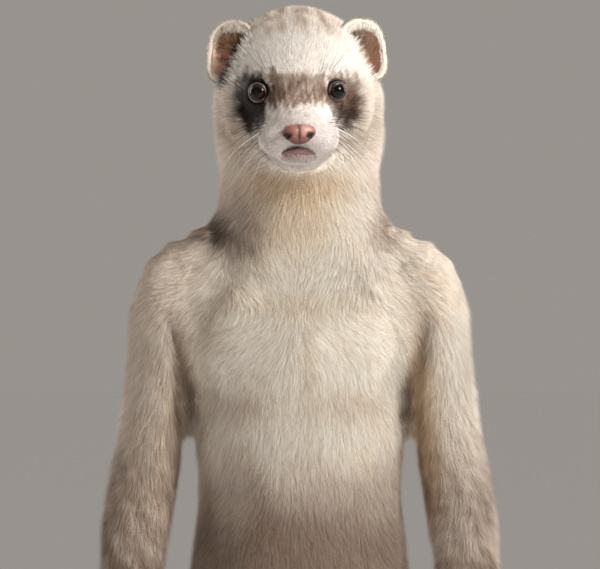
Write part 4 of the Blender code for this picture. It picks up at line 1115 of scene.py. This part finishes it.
part = parts_at(quad_middle)
qx, qy, qz = quad_middle.T
on_arm, on_head, low_down, on_tail = part["arm"] > 0.5, part["head"] > 0.5, qz < 118, part["tail"] > 0.5
on_leg = low_down & ~on_tail & (np.abs(qx) > 20) & (qz < 92)
trunk = ~on_arm & ~on_head & ~low_down
u_quad = in_head(quad_middle)[:, 0]
COATS = {
    "coat_face": (on_head & (u_quad > 26), round_head, 1),
    "coat_forehead": (on_head & (u_quad <= 26) & (u_quad > 6), round_head, 1),
    "coat_nape": (on_head & (u_quad <= 6), round_head, 1),
    "coat_neck": (trunk & (qz > 282), lambda p: round_axis(p, (0, 8, 300), (0, 0, 1)), 1),
    "coat_chest": (trunk & (qz <= 282) & (qz > 205) & (qy < 8), lambda p: round_axis(p, (0, 8, 240), (0, 0, 1)), 1),
    "coat_belly": (trunk & (qz <= 205) & (qy < 10), lambda p: round_axis(p, (0, 10, 160), (0, 0, 1)), 1),
    "coat_back": (trunk & (((qz <= 282) & (qz > 205) & (qy >= 8)) | ((qz <= 205) & (qy >= 10))),
                  lambda p: round_axis(p, (0, 10, 200), (0, 0, 1)), 1),
    "coat_foreleg_left": (on_arm & (qx > 0), lambda p: round_axis(p, (57, 2, 200), (0.12, 0, -1)), 1),
    "coat_foreleg_right": (on_arm & (qx < 0), lambda p: round_axis(p, (-57, 2, 200), (-0.12, 0, -1)), 1),
    "coat_rump": (low_down & ~on_tail & ~on_leg, lambda p: round_axis(p, (0, 14, 100), (0, 0, 1)), 1),
    "coat_leg_left": (on_leg & (qx > 0) & (qz > 17), lambda p: round_axis(p, (34, 0, 50), (0, 0, -1)), 2),
    "coat_leg_right": (on_leg & (qx < 0) & (qz > 17), lambda p: round_axis(p, (-34, 0, 50), (0, 0, -1)), 2),
    "coat_foot_left": (on_leg & (qx > 0) & (qz <= 17), lambda p: round_axis(p, (35, 0, 7), (0, -1, 0)), 1),
    "coat_foot_right": (on_leg & (qx < 0) & (qz <= 17), lambda p: round_axis(p, (-35, 0, 7), (0, -1, 0)), 1),
    "coat_tail": (on_tail, lambda p: round_axis(p, (14, 96, 22), (0.45, 0.85, -0.30)), 3),
}
for number, (name, (where, chart, rings)) in enumerate(COATS.items()):
    rng = np.random.default_rng(100 + number)
    chosen = np.flatnonzero(where)
    expected = quad_area[chosen] * quad_many[chosen] / HAIRS
    tufts = np.floor(expected + rng.random(len(chosen))).astype(int)
    quad = np.repeat(chosen, tufts)
    a, b = rng.random(len(quad))[:, None], rng.random(len(quad))[:, None]
    share = np.concatenate([(1 - a) * (1 - b), a * (1 - b), a * b, (1 - a) * b], 1)
    around = skin_faces[quad]

    def there(values):
        """A value of the skin's points at each root: the mean of its face's corners by nearness."""
        return (share.reshape(share.shape + (1,) * (values.ndim - 1)) * values[around]).sum(1)

    roots, normals = there(skin_points), unit(there(skin_normals))
    lies = there(skin_lie)
    lies = unit(lies - (lies * normals).sum(1)[:, None] * normals)
    length = there(skin_length)
    seen_at = roots + lies * 0.45 * length[:, None] + rng.normal(size=roots.shape) * 0.09 * length[:, None]
    grow(name, roots, normals, lies, length, there(skin_width), there(skin_height), there(skin_bend),
         markings_and_painted_light(seen_at), chart(roots), 200 + number, rings, 0.9 * np.repeat(np.clip(length / 9, 0.35, 1), HAIRS),
         1 - 0.7 * parts_at(roots)["head"] * ramp(in_head(roots)[:, 0], 34, 44))



# The fur of the ears and lips: short cream fur on the ears' backs, a soft band rolled over their rims,
# thickest at the top, fine hairs across their inside, pale in the left ear and buff to brown in the right,
# partly as painted shade, a dark fringe where the forehead meets each ear, with white hair laid over its
# roots, and very short white hair on the lower lip.
def ear_tufts(rng, side, kind, count):
    """Roots, normals, lies, lengths, widths, heights, bends, colours and unwrap places of one kind of hair of
    an ear. Back hair lies from base to rim, rim hair across the rim towards the middle of the opening, and
    inner hair from the rim downwards."""
    angle = 2 * np.pi * rng.random(count)
    top = np.clip(np.sin(angle), 0, 1) ** 1.5
    share = rng.random(count)
    if kind == "back":
        sweep = EAR_SWEEP * np.sqrt(rng.uniform(0.10, 1.0, count))
        out = 0.55 + 0.35 * (sweep / EAR_SWEEP) ** 4
        length, height, width, bend, tones = 3.4 + 0 * top, 0.9 + 0 * top, 0.24, 0.10, (IVORY, CREAM, 0.8)
    elif kind == "rim":
        sweep = EAR_SWEEP * (1 - 0.06 * share**2 * (1 + top))
        out = np.where(share > 0.5, -0.6, rng.uniform(-0.6, 0.8, count))
        length, height, width, bend, tones = 1.3 + 1.7 * top, 0.40 + 0.25 * top, 0.20, 0.10, (IVORY, CREAM, 0.7)
    else:
        angle = np.where(rng.random(count) < 0.5, np.pi / 2 + rng.normal(size=count) * 1.1, angle)
        sweep, out = EAR_SWEEP * rng.uniform(0.30, 0.95, count), np.full(count, -0.70)
        length, height, width, bend = 3.2 + 0 * top, 0.9 + 0 * top, 0.17, 0.02
        # the right ear's inner hair is buff to brown and the left ear's pale: partly painted shade in the right ear
        tones = (BUFF, BROWN, 0.5) if side < 0 else (IVORY, BUFF, 0.8)
    here = ear_point(side, sweep, angle, out)
    over = unit(ear_point(side, sweep, angle, out + 0.1) - here)
    ahead = unit(ear_point(side, sweep + 0.02, angle, out) - here)
    aside = unit(ear_point(side, sweep, angle + 0.05, out) - here)
    matrix, middle = ear_frame(side)
    jitter = rng.normal(size=(count, 1))
    if kind == "back":
        # near the rim the hair turns outwards, and makes the ear's soft outline
        turned_out = 0.22 * ramp(sweep / EAR_SWEEP, 0.86, 0.98)[:, None]
        normals = laid_over(over, ahead, turned_out[:, 0])
        lies = laid_over(ahead, over, turned_out[:, 0]) + 0.30 * jitter * aside
    elif kind == "rim":
        normals = np.repeat(-matrix[:, 1][None], count, 0) + 0.35 * over
        lies = middle + (0, 0, -2.5) - here + 2.0 * jitter * aside
    else:
        normals, lies = -over, -ahead + 0.35 * jitter * aside - 0.5 * np.array((0, 0, 1))
    normals = unit(normals)
    lies = unit(lies - (lies * normals).sum(1)[:, None] * normals)
    first, second, much = tones
    colours = painted(np.repeat(first[None], count, 0), second, much * rng.random(count))
    if kind == "back":
        colours = painted(colours, BROWN, 0.75 * ramp(0.92 - sweep / EAR_SWEEP, 0, 0.6) * rng.uniform(0.3, 1.2, count))
        long_way = 1 - 0.55 * ramp(sweep / EAR_SWEEP, 0.80, 1.0)
        length, height = length * long_way, height * long_way
    chart = np.stack([angle / (2 * np.pi) % 1, 0.5 * (kind == "inner") + 0.49 * sweep / EAR_SWEEP], 1)
    long = length * rng.uniform(0.7, 1.2, count)
    return here, normals, lies, long, np.full(count, width), height, np.full(count, bend), colours, chart


def fringe(rng, side, count, inwards, tone, other, long):
    """Hair along an ear's inner edge, as ear_tufts gives it: rooted on the frontmost skin under the line where
    forehead and ear meet, or inwards of it, and pointing away from the middle of the face."""
    line = np.array(EAR_EDGES[side])
    share = rng.random(count) * (len(line) - 1.001)
    start = share.astype(int)
    spot = line[start] + (share - start)[:, None] * (line[start + 1] - line[start]) + rng.normal(size=(count, 2)) * 0.9
    away = unit(spot - np.array((-0.9, 334.0)))
    spot = spot - away * inwards * rng.uniform(0.6, 1.4, (count, 1))
    brow = np.flatnonzero((parts_at(skin_points)["head"] > 0.5) & (skin_normals[:, 1] < 0.6)
                          & (skin_points[:, 0] * side > 8) & (skin_points[:, 2] > 336))
    gap = ((spot[:, None] - skin_points[brow][None][:, :, (0, 2)]) ** 2).sum(2)
    chosen = brow[(4 * gap + 0.5 * skin_points[brow, 1][None]).argmin(1)]
    here, normals = skin_points[chosen], unit(skin_normals[chosen] - np.array((0, 0.8, 0)))
    here = here + 0.5 * rng.normal(size=here.shape) * (1, 0, 1)
    lies = unit(np.stack([away[:, 0], -0.10 + 0.12 * rng.normal(size=count), away[:, 1] + 0.15], 1))
    colours = painted(np.repeat(tone[None], count, 0), other, 0.5 * rng.random(count))
    long = long * rng.uniform(0.6, 1.2, count)
    return (here, normals, lies, long, np.full(count, 0.23), 0.16 * long, np.full(count, -0.01), colours,
            round_head(here))


for side_name, side in (("left", 1), ("right", -1)):
    rng = np.random.default_rng(31 + side)
    dark, paler, much = (SABLE, BROWN, 540) if side < 0 else (CROWN_BROWN, BROWN, 230)
    made = [ear_tufts(rng, side, "back", 1500), ear_tufts(rng, side, "rim", 1500),
            ear_tufts(rng, side, "inner", 340), fringe(rng, side, much, 0.4, dark, paler, 3.5),
            fringe(rng, side, 260, 2.6, IVORY, WHITE, 3.8)]
    grow(f"coat_ear_{side_name}", *(np.concatenate(parts) for parts in zip(*made)), 61 + side, 2, 0.35)
rng = np.random.default_rng(41)
across = rng.uniform(-0.99, 0.99, 760)
down = 0.30 - 0.25 * across**2 + (0.70 + 0.25 * across**2) * rng.random(760) ** 0.65
here = lip_surface(across, down, 0.05)
out = unit(np.stack([0.25 * across, -1 + 0 * down, -0.25 + 0 * down], 1))
lies = unit(np.stack([0.5 * across, -0.25 + 0 * down, -1 + 0 * down], 1))
lies = unit(lies - (lies * out).sum(1)[:, None] * out)
tones = painted(np.repeat(CHALK[None], 760, 0), lip_tones[2], 0.5 * ramp(0.8 - down, 0, 0.4))
grow("coat_lip", here, out, lies, rng.uniform(0.7, 1.3, 760), np.full(760, 0.10), np.full(760, 0.12), np.full(760, 0.02),
     tones, round_head(here), 43, 2, 0.3, 0.3)

# Whiskers. Stiff, tapered hairs in four rows on each side of the muzzle, dark and pale, that sweep out, back
# and down, a few above the eyes, and some long pale hairs on the cheeks and chin.
WHISKER_RINGS, WHISKER_SIDES = 14, 6
rng = np.random.default_rng(77)
roots, ways, sags, thick, tones = [], [], [], [], []
for side in (1, -1):
    row, column = (v.ravel() for v in np.meshgrid(np.arange(4), np.arange(5), indexing="ij"))
    pad = np.stack([52.0 - 2.3 * column, side * (9.0 + 1.3 * column), -6.0 - 2.4 * row + 0.25 * column], 1)
    rise = 0.10 - 0.27 * row + 0.08 * rng.normal(size=row.size)
    reach = unit(np.stack([side * (1.0 + 0 * rise), 0.75 + 0.10 * column, rise], 1))
    brow = np.stack([np.array((37.0, 35.0, 33.0)), side * np.array((9.5, 11.5, 13.0)), np.array((9.0, 9.5, 9.0))], 1)
    brow_way = unit(np.array(((0.25, -0.35, 1.0), (0.45, -0.3, 0.9), (0.7, -0.2, 0.8))) * (side, 1, 1))
    chin = np.stack([rng.uniform(22, 36, 6), side * rng.uniform(9, 17, 6), rng.uniform(-25, -21, 6)], 1)
    chin_way = unit(np.stack([side * rng.uniform(0.15, 0.6, 6), rng.uniform(-0.45, -0.1, 6), -np.ones(6)], 1))
    roots.append(from_head(np.vstack([pad, brow, chin])))
    ways.append(np.vstack([reach * (rng.uniform(13, 19, row.size) + 1.4 * column)[:, None],
                           brow_way * rng.uniform(8, 11, (3, 1)), chin_way * rng.uniform(9, 14, (6, 1))]))
    sags.append(np.concatenate([rng.uniform(1.0, 3.5, row.size) + 0.7 * row, np.full(3, -0.5), np.full(6, 1.0)]))
    thick.append(np.concatenate([np.full(row.size, 0.21), np.full(3, 0.18), np.full(6, 0.20)]))
    dark = np.concatenate([(rng.random(row.size) < 0.7) | (row < 2), np.ones(3, bool), np.zeros(6, bool)])
    tones.append(np.where(dark[:, None], SABLE, WHITE))
roots, ways, sags, thick, tones = (np.concatenate(v) for v in (roots, ways, sags, thick, tones))
nearest = ((roots[:, None] - skin_points[None]) ** 2).sum(2).argmin(1)
roots = skin_points[nearest] - skin_normals[nearest] * 0.4
s = np.linspace(0, 1, WHISKER_RINGS)[None, :, None]
line = roots[:, None] + ways[:, None] * s - np.array((0, 0, 1.0)) * sags[:, None, None] * s**2.2
way = unit(np.gradient(line, axis=1))
flat = unit(np.cross(way, np.array((0.05, 0.2, 1.0))))
other = np.cross(way, flat)
spin = (np.arange(WHISKER_SIDES) * 2 * np.pi / WHISKER_SIDES)[None, None, :, None]
bulk = 0.5 * thick[:, None, None, None] * (1 - 0.86 * s[..., None])
tube = line[:, :, None] + bulk * (np.cos(spin) * flat[:, :, None] + np.sin(spin) * other[:, :, None])
tube = np.concatenate([tube, np.repeat((line[:, -1:] + way[:, -1:] * 0.2)[:, :, None], WHISKER_SIDES, 2)], 1)
i, j = np.meshgrid(np.arange(WHISKER_RINGS), np.arange(WHISKER_SIDES), indexing="ij")
after = (j + 1) % WHISKER_SIDES
quads = np.stack([i * WHISKER_SIDES + j, i * WHISKER_SIDES + after, (i + 1) * WHISKER_SIDES + after,
                  (i + 1) * WHISKER_SIDES + j], -1).reshape(-1, 4)
per = (WHISKER_RINGS + 1) * WHISKER_SIDES
whiskers = new_piece("whiskers", (tube.reshape(-1, 3) + MAKERS_SHIFT) / 1000,
                     (np.arange(len(roots))[:, None, None] * per + quads[None]).reshape(-1, 4))
give_colours(whiskers, np.repeat(tones, per, 0))
whiskers.data.materials.append(fur)
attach(whiskers, "root")

# Claws. Twenty curved horn claws, flattened from side to side, dark at the root and pale at the tip. Each
# grows out of the end of its toe, in the box of its solid.
horn = bpy.data.materials.new("claw_horn")
shader, add, link = nodes_of(horn)
marked = add("ShaderNodeAttribute", attribute_name="coat")
layers = add("ShaderNodeTexNoise", {"Vector": add("ShaderNodeTexCoord").outputs["Object"], "Scale": 1600.0, "Detail": 3.0})
mixed = add("ShaderNodeMix", {0: 0.5, 6: marked.outputs["Color"], 7: layers.outputs["Fac"]},
            data_type="RGBA", blend_type="SOFT_LIGHT")
link(mixed.outputs[2], shader.inputs["Base Color"])
bump = add("ShaderNodeBump", {"Height": layers.outputs["Fac"], "Strength": 0.3, "Distance": 0.0002})
link(bump.outputs["Normal"], shader.inputs["Normal"])
shader.inputs["Roughness"].default_value = 0.32
CLAW_RINGS, CLAW_AROUND = 18, 14
root_horn, tip_horn = linear((96, 72, 60), (214, 194, 172))
for paw, side_name in (("fore", "left"), ("fore", "right"), ("hind", "left"), ("hind", "right")):
    nodes = [f"claw_{paw}_{side_name}_{number}" for number in range(1, 6)]
    middle, half = (np.array(v) for v in zip(*(middle_of(node) for node in nodes)))
    low, high = middle - half, middle + half
    x = middle[:, 0]
    if paw == "fore":
        stations = ((x, high[:, 1] - 0.75, high[:, 2] + 1.2), (x, low[:, 1] + 0.6, middle[:, 2]), (x, low[:, 1] + 1.1, low[:, 2]))
    else:
        stations = ((x, high[:, 1] + 1.4, high[:, 2] - 1.1), (x, middle[:, 1], high[:, 2] - 0.7), (x, low[:, 1], low[:, 2] + 0.2))
    root, bow, tip = (np.stack(v, 1)[:, None] for v in stations)
    s = np.linspace(0, 1, CLAW_RINGS)[None, :, None]
    line = (1 - s) ** 2 * root + 2 * s * (1 - s) * (2 * bow - 0.5 * (root + tip)) + s**2 * tip
    way = unit(np.gradient(line, axis=1))
    aside = unit(np.cross(way, np.array((0.0, 0.6, 0.8) if paw == "fore" else (0.0, 0.1, 1.0))))
    upper = np.cross(aside, way)
    spin = (np.arange(CLAW_AROUND) * 2 * np.pi / CLAW_AROUND)[None, None, :, None]
    bulk = 0.92 * (1 - s[..., None] ** 1.5) ** 0.9 + 0.05
    tube = line[:, :, None] + bulk * (0.62 * np.cos(spin) * aside[:, :, None] + 1.0 * np.sin(spin) * upper[:, :, None])
    ends = [np.repeat(line[:, k][:, None, None], CLAW_AROUND, 2) for k in (0, -1)]
    tube = np.concatenate([ends[0], tube, ends[1]], 1)
    rows = CLAW_RINGS + 2
    i, j = np.meshgrid(np.arange(rows - 1), np.arange(CLAW_AROUND), indexing="ij")
    after = (j + 1) % CLAW_AROUND
    quads = np.stack([i * CLAW_AROUND + j, i * CLAW_AROUND + after, (i + 1) * CLAW_AROUND + after,
                      (i + 1) * CLAW_AROUND + j], -1).reshape(-1, 4)
    faces = (np.arange(len(nodes))[:, None, None] * rows * CLAW_AROUND + quads[None]).reshape(-1, 4)
    claws = new_piece(f"claws_{paw}_{side_name}", (tube.reshape(-1, 3) + MAKERS_SHIFT) / 1000, faces)
    share = np.concatenate([[0], s.ravel(), [1]])
    give_colours(claws, np.tile(np.repeat(root_horn + share[:, None] * (tip_horn - root_horn), CLAW_AROUND, 0), (len(nodes), 1)))
    claws.data.materials.append(horn)
    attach(claws, "root")
    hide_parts(*nodes)
